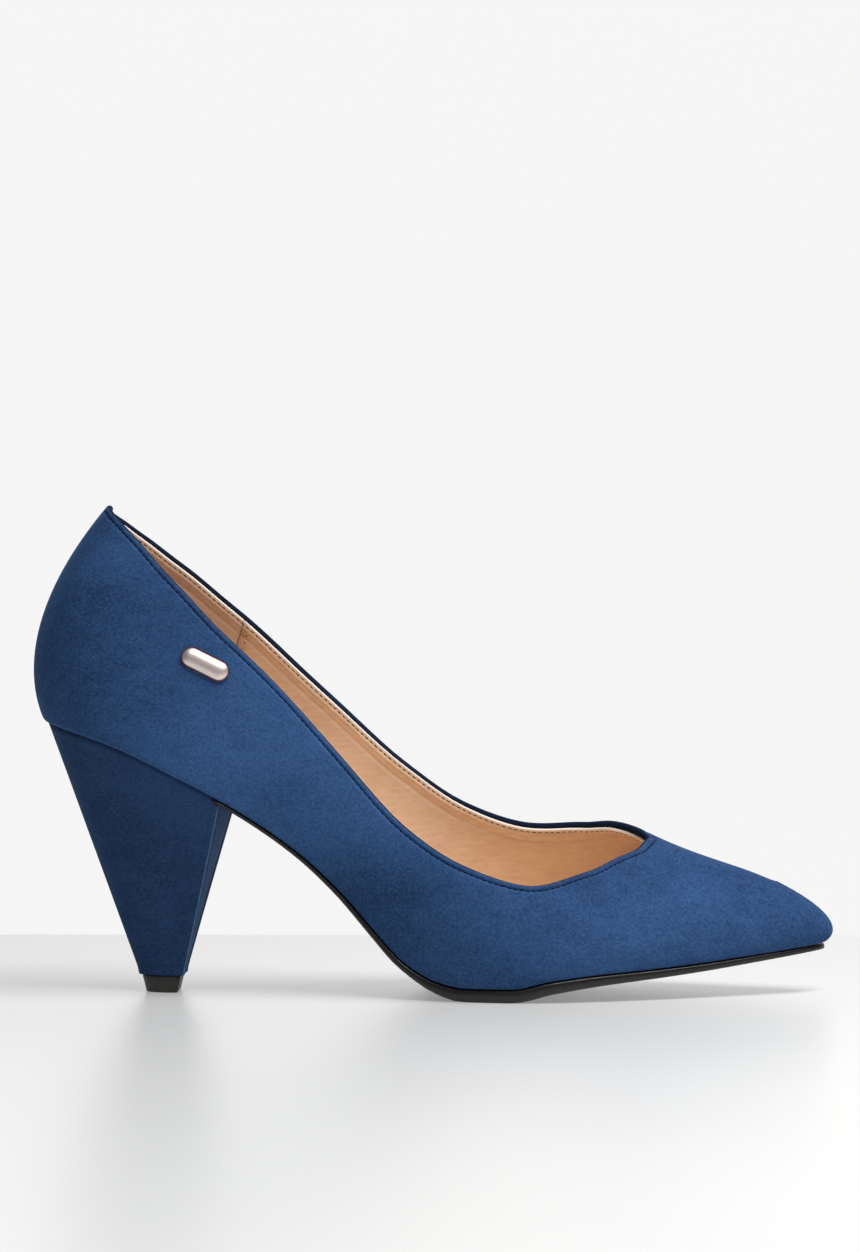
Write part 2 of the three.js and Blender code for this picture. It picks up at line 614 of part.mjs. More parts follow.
// Depth of the sock's underside: over the heel pad, the shank board, the ball pad and then the toe.
const sockDepth = steadyCurve([
  [gradeX(0), PAD_DEPTH + HEEL_PAD_THICKNESS + GAP],
  [gradeX(HEEL_PAD_END_X) + SOCK_LEAD, PAD_DEPTH + HEEL_PAD_THICKNESS + GAP],
  [gradeX(HEEL_PAD_END_X) + SOCK_LEAD + SOCK_RAMP, PAD_DEPTH],
  [gradeX(FOREFOOT_PAD_END_X), PAD_DEPTH],
  [gradeX(FOREFOOT_PAD_END_X) + SOCK_RAMP, SHANK_DEPTH],
  [gradeX(BASE.length), SHANK_DEPTH],
]);

// ---------- Fasteners of the seat, all square to it ----------
const seatAxis = bottomUp(SCREW_X);
const seatAlong = new THREE.Vector3(seatAxis.z, 0, -seatAxis.x);
const seatCentre = atDepth(SCREW_X, 0, SHANK_DEPTH);
const seatPlace = (along, across) =>
  seatCentre.clone().addScaledVector(seatAlong, along).add(new THREE.Vector3(0, across, 0));
const NAIL_PLACES = [[-7, -8], [-7, 8], [9, -9], [9, 9]];
const FAR = 60; // reach of a cutting tool

// Radius and height pairs of a headed pin. Its head rests on a seat at the given height.
function pinProfile(radius, headRadius, headHeight, length, seat) {
  return [
    [0, -length], [radius * 0.35, -length + radius], [radius, -length + 2 * radius], [radius, seat],
    [headRadius, seat], [headRadius, seat + headHeight * 0.6], [0, seat + headHeight],
  ];
}

// Room for a headed pin, with clearance all round and nothing over the head.
const pinRoom = (radius, headRadius, seat) => {
  const [shaft, head] = [radius + HOLE_CLEARANCE, headRadius + HOLE_CLEARANCE];
  return turned([[0, -FAR], [shaft, -FAR], [shaft, seat - GAP], [head, seat - GAP], [head, FAR], [0, FAR]]);
};

const NAIL_SEAT = 1; // head let into the shank board
function nailGeometry(along, across) {
  const profile = pinProfile(NAIL_RADIUS, 2 * NAIL_RADIUS, 0.9, NAIL_LENGTH, NAIL_SEAT);
  return stood(turned(profile, 10), seatPlace(along, across), seatAxis);
}
const nailRooms = () =>
  NAIL_PLACES.map(([along, across]) =>
    stood(pinRoom(NAIL_RADIUS, 2 * NAIL_RADIUS, NAIL_SEAT), seatPlace(along, across), seatAxis));

const SCREW_SEAT = SHANK_THICKNESS + GAP; // head bears on the steel shank
const THREAD_PITCH = 2;
function screwGeometry() {
  const profile = pinProfile(SCREW_RADIUS, 2 * SCREW_RADIUS, SCREW_HEAD, SCREW_LENGTH, SCREW_SEAT);
  const threads = [];
  for (let z = 3 * SCREW_RADIUS - SCREW_LENGTH; z < -3 * THREAD_PITCH; z += THREAD_PITCH)
    threads.push([SCREW_RADIUS, z], [SCREW_RADIUS * 0.75, z + THREAD_PITCH / 2]);
  const [point, neck] = [profile.slice(0, 2), profile.slice(3)];
  return stood(turned([...point, ...threads, ...neck]), seatCentre, seatAxis);
}
const screwRoom = () => stood(pinRoom(SCREW_RADIUS, 2 * SCREW_RADIUS, SCREW_SEAT), seatCentre, seatAxis);

// ---------- Insole, shank and pads ----------
const FRONT_RIVET_X = 102;
const RIVET_PLACES = [BREAST_TOP_X, gradeX(FRONT_RIVET_X)];

function rivetGeometry(x) {
  const [shaft, head] = [RIVET_RADIUS, 1.6 * RIVET_RADIUS];
  const top = SHANK_THICKNESS + GAP;
  const foot = -INSOLE_THICKNESS - 2 * GAP;
  const outline = [
    [0, foot - RIVET_HEAD], [head, foot - RIVET_HEAD], [head, foot], [shaft, foot],
    [shaft, top], [head, top], [head, top + RIVET_HEAD], [0, top + RIVET_HEAD],
  ];
  return stood(turned(outline), atDepth(x, 0, SHANK_DEPTH), bottomUp(x));
}
const rivetRooms = () =>
  RIVET_PLACES.map((x) => {
    const r = RIVET_RADIUS + HOLE_CLEARANCE;
    const tool = turned([[0, -FAR], [r, -FAR], [r, FAR], [0, FAR]]);
    return stood(tool, atDepth(x, 0, SHANK_DEPTH), bottomUp(x));
  });

function insoleGeometry() {
  const board = plate(
    stationsBetween(0, INSOLE_END),
    insoleEdge,
    () => INSOLE_DEPTH,
    () => INSOLE_DEPTH + INSOLE_THICKNESS,
  );
  return cut(board, ...rivetRooms(), ...nailRooms(), screwRoom());
}

// A straight-sided bar that follows the bottom profile, from one place along the shoe to another.
function bar(from, to, width, low, high) {
  const columns = stationsBetween(stationAtX(from), stationAtX(to)).map((s) => {
    const { x } = insoleEdge(s);
    const face = (depth) => [-1, 1].map((k) => atDepth(x, (k * width) / 2, depth));
    return { outer: face(high), inner: face(low) };
  });
  return shell(columns, false);
}

function shankBoardGeometry() {
  const board = plate(
    stationsBetween(0, stationAtX(gradeX(SHANK_BOARD_END_X))),
    insoleEdge,
    () => SHANK_DEPTH,
    () => SHANK_DEPTH + SHANK_BOARD_THICKNESS,
  );
  const slot = bar(
    gradeX(SHANK_START_X) - GAP, gradeX(SHANK_END_X) + GAP, SHANK_WIDTH + 2 * GAP,
    SHANK_DEPTH - 1, SHANK_DEPTH + SHANK_BOARD_THICKNESS + 1,
  );
  return cut(board, slot, ...nailRooms());
}

function shankGeometry() {
  const steel = bar(
    gradeX(SHANK_START_X), gradeX(SHANK_END_X), SHANK_WIDTH, SHANK_DEPTH, SHANK_DEPTH + SHANK_THICKNESS,
  );
  return cut(steel, ...rivetRooms(), screwRoom());
}

function heelPadGeometry() {
  return plate(
    stationsBetween(0, stationAtX(gradeX(HEEL_PAD_END_X))),
    (s) => marginOutline(s, HEEL_PAD_INSET),
    () => PAD_DEPTH,
    () => PAD_DEPTH + HEEL_PAD_THICKNESS,
  );
}

const PAD_LEAD = 3; // between the shank board's end and the ball pad
function forefootPadGeometry() {
  const start = stationAtX(gradeX(SHANK_BOARD_END_X) + PAD_LEAD);
  return plate(
    stationsBetween(start, stationAtX(gradeX(FOREFOOT_PAD_END_X))),
    (s) => marginOutline(s, FOREFOOT_PAD_INSET),
    () => SHANK_DEPTH,
    () => SHANK_DEPTH + FOREFOOT_PAD_THICKNESS,
  );
}

function sockGeometry() {
  return plate(
    stationsBetween(0, SOCK_END),
    (s) => bottomOutline(s, INSOLE_DEPTH + SOCK_INSET),
    sockDepth,
    (x) => sockDepth(x) + SOCK_THICKNESS,
  );
}

// ---------- Heel ----------
const HEEL_FOOT_Z = TOP_PIECE_HEIGHT + GAP;
const HEEL_ROWS = 8;
const HEEL_SIDES = 24;
const HEEL_FLARE = 1.35; // above 1 the sides hollow in below the seat

// The D-shaped foot of the heel at a share round it: -1 the inner breast corner, 0 the back, 1 the outer.
function heelFootPoint(share, inset) {
  const angle = share * (Math.PI / 2);
  const depth = BREAST_FOOT_X - HEEL_FOOT_BACK_X - 2 * inset;
  return new THREE.Vector3(
    BREAST_FOOT_X - inset - depth * Math.cos(angle) ** 0.8,
    -(HEEL_FOOT_WIDTH / 2 - inset) * Math.sin(angle),
    HEEL_FOOT_Z,
  );
}

// And of the seat, which is set in from the edge of the upper.
function heelSeatPoint(share, inset) {
  const station = share * stationAtX(BREAST_TOP_X - inset);
  const outwards = masterNormal(station, 0).setZ(0).normalize();
  const point = edgePoint(station).addScaledVector(outwards, -inset - HEEL_SEAT_INSET);
  point.x = Math.min(point.x, BREAST_TOP_X - inset);
  point.z = bottomZ(point.x) - GAP;
  return point;
}

function heelPoint(share, t, inset) {
  const [foot, seat] = [heelFootPoint(share, inset), heelSeatPoint(share, inset)];
  return new THREE.Vector3(
    THREE.MathUtils.lerp(foot.x, seat.x, t),
    THREE.MathUtils.lerp(foot.y, seat.y, t ** HEEL_FLARE),
    THREE.MathUtils.lerp(foot.z, seat.z, t),
  );
}

// A solid through rings of points, each running from one side to its mirror, capped in strips across.
function loft(rings) {
  const triangles = [];
  const count = rings[0].length;
  for (let j = 0; j < rings.length - 1; j++)
    for (let i = 0; i < count; i++) {
      const k = (i + 1) % count;
      triangles.push(...quad(rings[j][i], rings[j][k], rings[j + 1][k], rings[j + 1][i]));
    }
  for (const [ring, flip] of [[rings[0], true], [rings[rings.length - 1], false]])
    for (let i = 0; i < (count - 1) / 2; i++) {
      const across = quad(ring[i], ring[i + 1], ring[count - 2 - i], ring[count - 1 - i]);
      triangles.push(...(flip ? across.map((t) => t.slice().reverse()) : across));
    }
  return geometryOf(triangles);
}

const roundHeel = steps(HEEL_SIDES).map((t) => 2 * t - 1);

// Room for the outsole where it runs in under the front of the heel.
function soleRoom() {
  const start = stationAtX(BREAST_TOP_X - SOLE_TUCK - GAP);
  return plate(
    stationsBetween(start, stationAtX(BREAST_TOP_X + 2 * SOLE_TUCK)),
    (s) => bottomOutline(s, -1),
    (x) => -2 * GAP - outsoleThickness(x),
    () => 2,
  );
}

const heelAxis = () => {
  const foot = heelFootPoint(0, 0).lerp(heelFootPoint(1, 0), 0.5).setY(0);
  const seat = heelSeatPoint(0, 0).lerp(heelSeatPoint(1, 0), 0.5).setY(0);
  return { foot, up: seat.sub(foot).normalize() };
};
const DOWEL_START = 2; // above the floor
function dowelGeometry(clearance) {
  const { foot, up } = heelAxis();
  const r = DOWEL_RADIUS + clearance;
  const low = DOWEL_START - HEEL_FOOT_Z - clearance;
  const high = low + DOWEL_LENGTH + 2 * clearance;
  return stood(turned([[0, low], [r, low], [r, high - 1], [r * 0.6, high], [0, high]]), foot, up);
}

function heelBlockGeometry() {
  const inset = HEEL_COVER_THICKNESS + GAP;
  const rings = steps(HEEL_ROWS).map((t) => roundHeel.map((share) => heelPoint(share, t, inset)));
  return cut(loft(rings), soleRoom(), ...nailRooms(), screwRoom(), dowelGeometry(HOLE_CLEARANCE));
}

// Breast of the heel: from one corner (-1) to the other (1) at a height t.
const breastPoint = (across, t, inset) =>
  heelPoint(1, t, inset).lerp(heelPoint(-1, t, inset), (1 - across) / 2);
const wrapShare = (t) => 1 - HEEL_WRAP / heelPoint(-1, t, 0).y;

function heelCoverGeometry() {
  const sheet = (inset, place) => steps(HEEL_ROWS).map((t) => place(t, inset));
  const column = (place) => ({ outer: sheet(0, place), inner: sheet(HEEL_COVER_THICKNESS, place) });
  const columns = [
    column((t, inset) => breastPoint(-wrapShare(t), t, inset)),
    ...roundHeel.map((share) => column((t, inset) => heelPoint(share, t, inset))),
    column((t, inset) => breastPoint(wrapShare(t), t, inset)),
  ];
  return cut(shell(columns, false), soleRoom());
}

function heelBreastGeometry() {
  const seam = (t) => wrapShare(t) - GAP / heelPoint(-1, t, 0).y;
  const sheet = (end, inset) => steps(HEEL_ROWS).map((t) => breastPoint(end * seam(t), t, inset));
  const columns = [-1, 1].map((end) => ({ outer: sheet(end, 0), inner: sheet(end, HEEL_COVER_THICKNESS) }));
  return cut(shell(columns, false), soleRoom());
}

function topPieceGeometry() {
  const ring = (inset, z) => roundHeel.map((share) => heelFootPoint(share, inset).setZ(z));
  const body = loft([
    ring(TOP_PIECE_INSET + TOP_PIECE_TAPER, 0),
    ring(TOP_PIECE_INSET, TOP_PIECE_HEIGHT),
  ]);
  return cut(body, dowelGeometry(HOLE_CLEARANCE));
}

// ---------- Assembly ----------
const shoe = new THREE.Group();
function add(name, geometry, material) {
  const mesh = new THREE.Mesh(geometry, material);
  mesh.name = name;
  shoe.add(mesh);
}

add("upper", upperGeometry(), SUEDE);
add("topline_tape", toplineTapeGeometry(), TAPE);
add("vamp_lining", vampLiningGeometry(), LINING_LEATHER);
add("heel_grip_lining", heelGripGeometry(), GRIP_SUEDE);
add("heel_counter", counterGeometry(), STIFFENER);
add("toe_puff", toePuffGeometry(), STIFFENER);
add("interlining_outer", interliningGeometry(1), TAPE);
add("interlining_inner", interliningGeometry(-1), TAPE);
add("outsole", outsoleGeometry(), SOLE_RUBBER);
add("bottom_filler", fillerGeometry(), CORK);
add("insole_board", insoleGeometry(), BOARD);
add("shank_board", shankBoardGeometry(), BOARD);
add("steel_shank", shankGeometry(), STEEL);
add("shank_rivet_rear", rivetGeometry(RIVET_PLACES[0]), STEEL);
add("shank_rivet_front", rivetGeometry(RIVET_PLACES[1]), STEEL);
add("forefoot_cushion", forefootPadGeometry(), FOAM);
add("heel_cushion", heelPadGeometry(), FOAM);
add("sock_lining", sockGeometry(), LINING_LEATHER);
add("heel_block", heelBlockGeometry(), PLASTIC);
add("heel_cover", heelCoverGeometry(), SUEDE);
add("heel_breast_cover", heelBreastGeometry(), SUEDE);
add("top_piece", topPieceGeometry(), SOLE_RUBBER);
add("top_piece_dowel", dowelGeometry(0), STEEL);
add("heel_screw", screwGeometry(), STEEL);
NAIL_PLACES.forEach(([along, across], i) => add(`heel_nail_${i + 1}`, nailGeometry(along, across), STEEL));
add("badge", badgeGeometry(), ROSE_METAL);
prongPlaces.forEach((place, i) => add(`badge_washer_${i + 1}`, badgeWasherGeometry(place), STEEL));

// The origin is on the floor, under the middle of the shoe's box.
const box = new THREE.Box3().setFromObject(shoe, true);
const centre = box.getCenter(new THREE.Vector3());
shoe.position.set(-centre.x, -centre.y, -box.min.z);

export default shoe;
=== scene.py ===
"""Finishes for a pointed court shoe with a covered cone heel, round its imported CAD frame.

Shapes are worked out in the last's own millimetres: x from the back seam towards the toe, -y towards
the outer side, z up from the floor. placed() turns them into the frame's metres. A place on the shoe is
a station, 0 at the back seam and 17 at the toe, positive round the outer side and negative round the
inner side, with a share of the way up that station's section, 0 at the sole and 1 on the instep ridge.
"""

import math

import bmesh
import bpy
import numpy as np
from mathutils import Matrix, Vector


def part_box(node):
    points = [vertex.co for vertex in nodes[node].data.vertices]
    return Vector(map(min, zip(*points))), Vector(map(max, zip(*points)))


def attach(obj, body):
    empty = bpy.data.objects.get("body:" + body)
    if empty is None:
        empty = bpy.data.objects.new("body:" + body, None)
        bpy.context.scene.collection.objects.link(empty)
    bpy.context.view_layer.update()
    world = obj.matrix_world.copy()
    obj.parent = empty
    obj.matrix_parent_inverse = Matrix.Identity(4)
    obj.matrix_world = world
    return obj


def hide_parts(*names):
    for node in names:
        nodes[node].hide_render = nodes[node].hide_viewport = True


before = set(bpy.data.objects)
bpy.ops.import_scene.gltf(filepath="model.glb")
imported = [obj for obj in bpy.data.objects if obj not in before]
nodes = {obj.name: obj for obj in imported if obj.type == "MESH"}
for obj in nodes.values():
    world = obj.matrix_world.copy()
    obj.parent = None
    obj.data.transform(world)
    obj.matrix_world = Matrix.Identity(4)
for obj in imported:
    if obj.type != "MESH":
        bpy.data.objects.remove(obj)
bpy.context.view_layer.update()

MM = 0.001

# ---------- Sizes, in millimetres ----------
GAP = 0.3
UPPER_THICKNESS = 1.2
LINING_DEPTH = 2.35  # below the outside of the upper
LINING_INSIDE = 3.3
FOLD_RADIUS = 1.05  # the upper's top edge, turned over its tape
FOLD_LEAF = 5.0  # how far the turned leaf reaches down inside
LEAF_OUTSIDE = 1.6  # depth of the leaf's face towards the skin
STITCH_DROP = 1.95  # topline stitches below the top edge
GROOVE_DEPTH = 0.42
GROOVE_WIDTH = 0.45
BACK_SEAM_REACH = 0.7  # stations over which the groove fades towards the back seam
STITCH_PITCH = 1.9
STITCH_LENGTH = 1.25
THREAD_RADIUS = 0.27
THREAD_SINK = 0.45  # share of the thread's radius that is sunk in
LINING_DROP = 0.9  # cut edge of the lining below the top edge
BAND = 8.0  # width of the finely modelled band along the top edge
UPPER_MARGIN = 12.0
LINING_MARGIN = 8.0
LINING_SEAM = 5.2  # station of the seam between the two linings, at the top edge
SEAM_GAP = 0.006  # stations between the seam and each lining's end
SEAM_LEAN = 0.8  # stations that the seam leans back between the top edge and the sole
SEAM_STATION = 5.3  # stitches in front of the seam
SEAM_TOP_DROP = 3.2  # their reach below the top edge
SEAM_FOOT_DROP = 32.0
SEAM_PITCH = 2.0
SEAM_STITCH_LENGTH = 0.75
SEAM_THREAD_RADIUS = 0.24
SEAM_THREAD_SINK = 0.6
WALL = 45.0  # height of the wall near the seam
HEEL_RISE = 78.0
TOE_SPRING = 11.0
TREAD_THICKNESS = 3.6
TREAD_LEVEL = TREAD_THICKNESS + GAP
WAIST_THICKNESS = 0.9
TOE_THICKNESS = 1.4

# x0 outer inner: the edge of the sole. x1 out1 out1in up1: the bulge of the wall beyond and above it.
# x2 y2 y2in: the shoulder. xr upr: the ridge. slope and tilt: the lie of the ridge. drop: shoulder below.
STATIONS = np.array([
    [3.2, 0, 0, -4, 0, 0, 15.5, -3.2, 0, 0, 46, 88.5, 0, 0, 42],
    [6, 11, 11, -1, 1, 1, 15.8, -0.6, 9, 9, 46.3, 89.3, 0, 0.02, 42],
    [13.5, 19.5, 19.5, 8, 2, 2, 16.8, 7.2, 17, 17, 47.2, 91.3, 0, 0.05, 40.5],
    [26, 24.8, 24.8, 22.5, 2.7, 2.7, 17.5, 22, 21, 21, 49.5, 94, 0, 0.1, 38],
    [42, 25.6, 25.2, 40, 2.9, 2.9, 20.3, 40, 21.5, 21.5, 54, 96, 0, 0.14, 33],
    [60, 24, 22, 59, 4, 4.5, 21.5, 58, 24, 24, 62.5, 95, 0, 0.17, 31],
    [79, 22.3, 18, 78.5, 5.2, 6, 22.4, 76, 26, 25, 75, 92.4, 0, 0.2, 33],
    [96, 23, 17, 95.5, 6, 7.5, 22.3, 93, 29, 27, 91, 90.3, 0, 0.22, 32],
    [113, 27.5, 21, 113, 5.5, 8, 24.3, 110.5, 32, 30, 108.5, 90.3, 0, 0.25, 26],
    [131, 34, 30.5, 131, 4, 6, 20, 128, 34, 33, 127, 79, 0, 0.27, 16],
    [148, 36.5, 36, 148, 3.5, 4.5, 15.4, 147, 32, 32, 146, 62.4, 0, 0.28, 8],
    [166, 34, 35.5, 166, 3, 4, 12.8, 166, 25, 26, 165.5, 48.3, -0.5, 0.32, 0],
    [184, 28, 30.5, 184, 3.5, 3.5, 12.1, 184.5, 17, 19, 184.2, 37.6, -0.4, 0.34, 0],
    [202, 20.5, 23, 202, 3, 3, 10, 202, 13.5, 15, 200, 30, -0.3, 0.2, 0],
    [217, 13.5, 15.5, 217.5, 3, 3, 7.7, 216.5, 10.5, 11.5, 213, 24.2, -0.42, 0.12, 0],
    [228, 8.5, 10, 230.5, 2.5, 2.5, 6.4, 228, 7.5, 8.2, 219.5, 20.4, -0.5, 0.06, 0],
    [234.5, 4.4, 5.4, 240, 1.4, 1.4, 5.2, 233, 4.2, 4.6, 221.9, 18.7, -0.5, 0.02, 0],
    [236.8, 0, 0, 244, 0, 0, 4.7, 235, 0, 0, 222.6, 18.3, -0.5, 0, 0],
])
TOE = len(STATIONS) - 1
THROAT = 12
TOPLINE_OUTER = [
    (0, 0.805), (1, 0.795), (2, 0.77), (3, 0.72), (4, 0.64), (5, 0.578), (6, 0.56), (7, 0.543),
    (8, 0.502), (9, 0.48), (10, 0.485), (11, 0.582), (11.5, 0.715), (11.8, 0.83), (12, 1),
]
TOPLINE_INNER = [
    (0, 0.805), (1, 0.79), (2, 0.765), (3, 0.72), (4, 0.665), (5, 0.628), (6, 0.622), (7, 0.632),
    (8, 0.612), (9, 0.58), (10, 0.598), (11, 0.672), (11.5, 0.79), (11.8, 0.885), (12, 1),
]
# Bottom profile as shares of the heel's rise behind the tread and of the toe spring before it.
BOTTOM_PROFILE = [
    (0, 1, 0), (24, 0.905, 0), (46, 0.77, 0), (63, 0.65, 0), (80, 0.5, 0), (92, 0.36, 0), (104, 0.188, 0),
    (110, 0.105, 0), (116, 0.05, 0), (122, 0.017, 0), (129, 0, 0), (143, 0, 0), (154, 0, 0.2),
    (168, 0, 0.36), (183, 0, 0.46), (198, 0, 0.58), (214, 0, 0.74), (237, 0, 1),
]


# ---------- Curves ----------
def unit(v):
    """Vectors divided by their lengths."""
    return v / np.maximum(np.linalg.norm(v, axis=-1, keepdims=True), 1e-12)


def smoothstep(x):
    """0 below 0, 1 above 1, and 3x^2 - 2x^3 between."""
    x = np.clip(x, 0, 1)
    return x * x * (3 - 2 * x)


def steady_curve(points):
    """Cubic Hermite curve through (x, y) points whose slope at each is the harmonic mean of the
    chords on its two sides, or 0 where they turn, so that it never overshoots."""
    xs, ys = np.array(points, float).T
    chords = np.diff(ys) / np.diff(xs)
    before, after = chords[:-1], chords[1:]
    turning = before * after <= 0
    middle = np.where(turning, 0, 2 * before * after / np.where(turning, 1, before + after))
    slopes = np.concatenate([chords[:1], middle, chords[-1:]])

    def curve(x):
        i = np.clip(np.searchsorted(xs, x, side="right") - 1, 0, len(chords) - 1)
        span = xs[i + 1] - xs[i]
        t = np.clip((x - xs[i]) / span, 0, 1)
        return (
            ys[i] * (2 * t**3 - 3 * t**2 + 1)
            + slopes[i] * span * (t**3 - 2 * t**2 + t)
            + ys[i + 1] * (3 * t**2 - 2 * t**3)
            + slopes[i + 1] * span * (t**3 - t**2)
        )

    return curve


bottom_z = steady_curve([(x, TREAD_LEVEL + r * HEEL_RISE + t * TOE_SPRING) for x, r, t in BOTTOM_PROFILE])
topline_outer = steady_curve(TOPLINE_OUTER)
topline_inner = steady_curve(TOPLINE_INNER)
outsole_thickness = steady_curve([
    (65, WAIST_THICKNESS), (80, WAIST_THICKNESS + 0.2), (112, TREAD_THICKNESS / 2),
    (129, TREAD_THICKNESS), (143, TREAD_THICKNESS), (183, (TREAD_THICKNESS + TOE_THICKNESS) / 2),
    (237, TOE_THICKNESS),
])
PROBE = 0.01


def bottom_up(x):
    """Unit vector square to the bottom profile at x, pointing into the shoe."""
    slope = (bottom_z(x + PROBE) - bottom_z(x - PROBE)) / (2 * PROBE)
    return unit(np.stack([-slope, np.zeros_like(slope), np.ones_like(slope)], -1))


def at_depth(x, y, depth):
    """The point over (x, y) on the bottom profile, moved into the shoe by a depth."""
    x, y, depth = np.broadcast_arrays(*(np.asarray(v, float) for v in (x, y, depth)))
    return np.stack([x, y, bottom_z(x)], -1) + bottom_up(x) * depth[..., None]


def control_net(points):
    """Control points whose closed uniform cubic B-spline passes through the points given."""
    n = len(points)
    row = np.zeros(n)
    row[[0, 1, -1]] = 4 / 6, 1 / 6, 1 / 6
    return np.linalg.solve(np.stack([np.roll(row, i) for i in range(n)]), points)


def on_loop(net, station):
    """A point of a closed uniform cubic B-spline, one span for each station."""
    s = np.mod(station, len(net))
    i = np.floor(s).astype(int)
    t = s - i
    weights = [(1 - t) ** 3, 3 * t**3 - 6 * t * t + 4, -3 * t**3 + 3 * t * t + 3 * t + 1, t**3]
    return sum(w[..., None] / 6 * net[(i + k - 1) % len(net)] for k, w in enumerate(weights))


def last_nets():
    """B-spline nets of the sole edge, the bulge, the shoulder, the ridge and the ridge's lie."""
    order = np.concatenate([np.arange(TOE + 1), np.arange(TOE - 1, 0, -1)])
    inner = np.arange(2 * TOE) > TOE
    rows = STATIONS[order]
    x0, y_out, y_in, x1, b_out, b_in, up1, x2, s_out, s_in, xr, upr, slope, tilt, drop = rows.T
    side = np.where(inner, 1, -1)
    y0 = np.where(inner, y_in, y_out)
    y1 = y0 + np.where(inner, b_in, b_out)
    y2 = np.where(inner, s_in, s_out)
    foot = bottom_z(x0)
    ridge = foot + upr
    shoulder = ridge + slope * (x2 - xr) + side * tilt * y2 - drop
    still = np.zeros_like(x0)
    loops = {
        "edge": (x0, side * y0, foot),
        "bulge": (x1, side * y1, foot + up1),
        "shoulder": (x2, side * y2, shoulder),
        "ridge": (xr, still, ridge),
        "lie": (slope, tilt, still),
    }
    return {name: control_net(np.stack(parts, -1)) for name, parts in loops.items()}


NETS = last_nets()


def edge_point(station):
    """The edge of the sole at a station, on the bottom profile."""
    p = on_loop(NETS["edge"], station)
    p[..., 2] = bottom_z(p[..., 0])
    return p


def master(station, share):
    """The outside of the upper: at each station a cubic Bezier from the sole edge past the bulge and
    the shoulder to the ridge."""
    station, share = np.broadcast_arrays(np.asarray(station, float), np.asarray(share, float))
    ridge = on_loop(NETS["ridge"], np.abs(station))
    ridge[..., 1] = 0
    parts = (edge_point(station), on_loop(NETS["bulge"], station), on_loop(NETS["shoulder"], station), ridge)
    h = share[..., None]
    g = 1 - h
    return g**3 * parts[0] + 3 * h * g * g * parts[1] + 3 * h * h * g * parts[2] + h**3 * parts[3]


def outward(station, share):
    """Unit normal of the outside of the upper, from differences along and up it. On the ridge it comes
    from the ridge's own lie, so that both sides agree."""
    station, share = np.broadcast_arrays(np.asarray(station, float), np.asarray(share, float))
    along = master(station + PROBE, share) - master(station - PROBE, share)
    upwards = master(station, share + PROBE) - master(station, np.maximum(share - PROBE, 0))
    normal = unit(np.cross(along, upwards))
    lie = on_loop(NETS["lie"], np.abs(station))
    ridge = unit(np.stack([-lie[..., 0], -lie[..., 1], np.ones_like(station)], -1))
    return np.where((share > 1 - PROBE)[..., None], ridge, normal)


def skin(station, share, depth=0.0):
    """A point a depth below the outside of the upper."""
    return master(station, share) - outward(station, share) * np.asarray(depth)[..., None]


def corner(station, depth):
    """Where a layer of the wall and its margin on the bottom meet, in a mitre."""
    edge = edge_point(station)
    up = bottom_up(edge[..., 0])
    inwards = -outward(station, np.zeros_like(station))
    mitre = (up + inwards) / (1 + np.sum(up * inwards, -1, keepdims=True))
    return edge + mitre * np.asarray(depth)[..., None]


def bottom_outline(station, depth):
    """x and y on the bottom profile of an edge that stands inside a layer of a depth."""
    p = corner(station, depth) - bottom_up(edge_point(station)[..., 0]) * np.asarray(depth)[..., None]
    return p[..., 0], p[..., 1]


SPINE = (27.0, 221.0)  # ends of the line on the bottom that margins are turned in towards
MOST_OF_ROOM = 0.72  # share of the way to it that a margin may cover


def margin(station, reach, depth):
    """A point of a layer's margin, turned in under the insole towards the middle of the bottom."""
    edge = edge_point(station)
    spine = np.clip(edge[..., 0], *SPINE)
    room = np.hypot(edge[..., 0] - spine, edge[..., 1])
    share = np.minimum(UPPER_MARGIN / room, MOST_OF_ROOM) * reach / UPPER_MARGIN
    x = edge[..., 0] + (spine - edge[..., 0]) * share
    return at_depth(x, edge[..., 1] * (1 - share), depth)


# ---------- The top edge ----------
MITRE_START = 11.3  # station where rows along the top edge begin to turn towards the throat's point
MITRE_RUN = 0.074  # stations forward of the throat, for each millimetre below the edge


def topline(u):
    """Share of the section where the top edge lies."""
    return np.where(u < 0, topline_inner(np.abs(u)), topline_outer(np.abs(u)))


def rim(u, drop):
    """Station and share of a point a distance below the top edge, measured square to it. Near the
    throat the rows of the two sides turn forward, to meet on the ridge in a mitre."""
    u, drop = np.broadcast_arrays(np.asarray(u, float), np.asarray(drop, float))
    share = topline(u)
    run = master(u + PROBE, topline(u + PROBE)) - master(u - PROBE, topline(u - PROBE))
    rise = (master(u, share) - master(u, share - PROBE)) / PROBE
    square = np.linalg.norm(np.cross(unit(run), rise), axis=-1)
    turn = smoothstep((np.abs(u) - MITRE_START) / (THROAT - MITRE_START))
    station = u + np.where(u < 0, -1, 1) * MITRE_RUN * drop * turn
    return station, share - drop / square * (1 - turn)


def rim_point(u, drop, depth):
    """A point below the top edge, at a depth below the outside of the upper."""
    return skin(*rim(u, drop), depth)


# ---------- Making meshes ----------
def spread(*stops):
    """Numbers in even runs between stops, given as value, count, value, count, ... value."""
    runs = [np.linspace(a, b, n, endpoint=False) for a, n, b in zip(stops[::2], stops[1::2], stops[2::2])]
    return np.concatenate([*runs, [stops[-1]]])


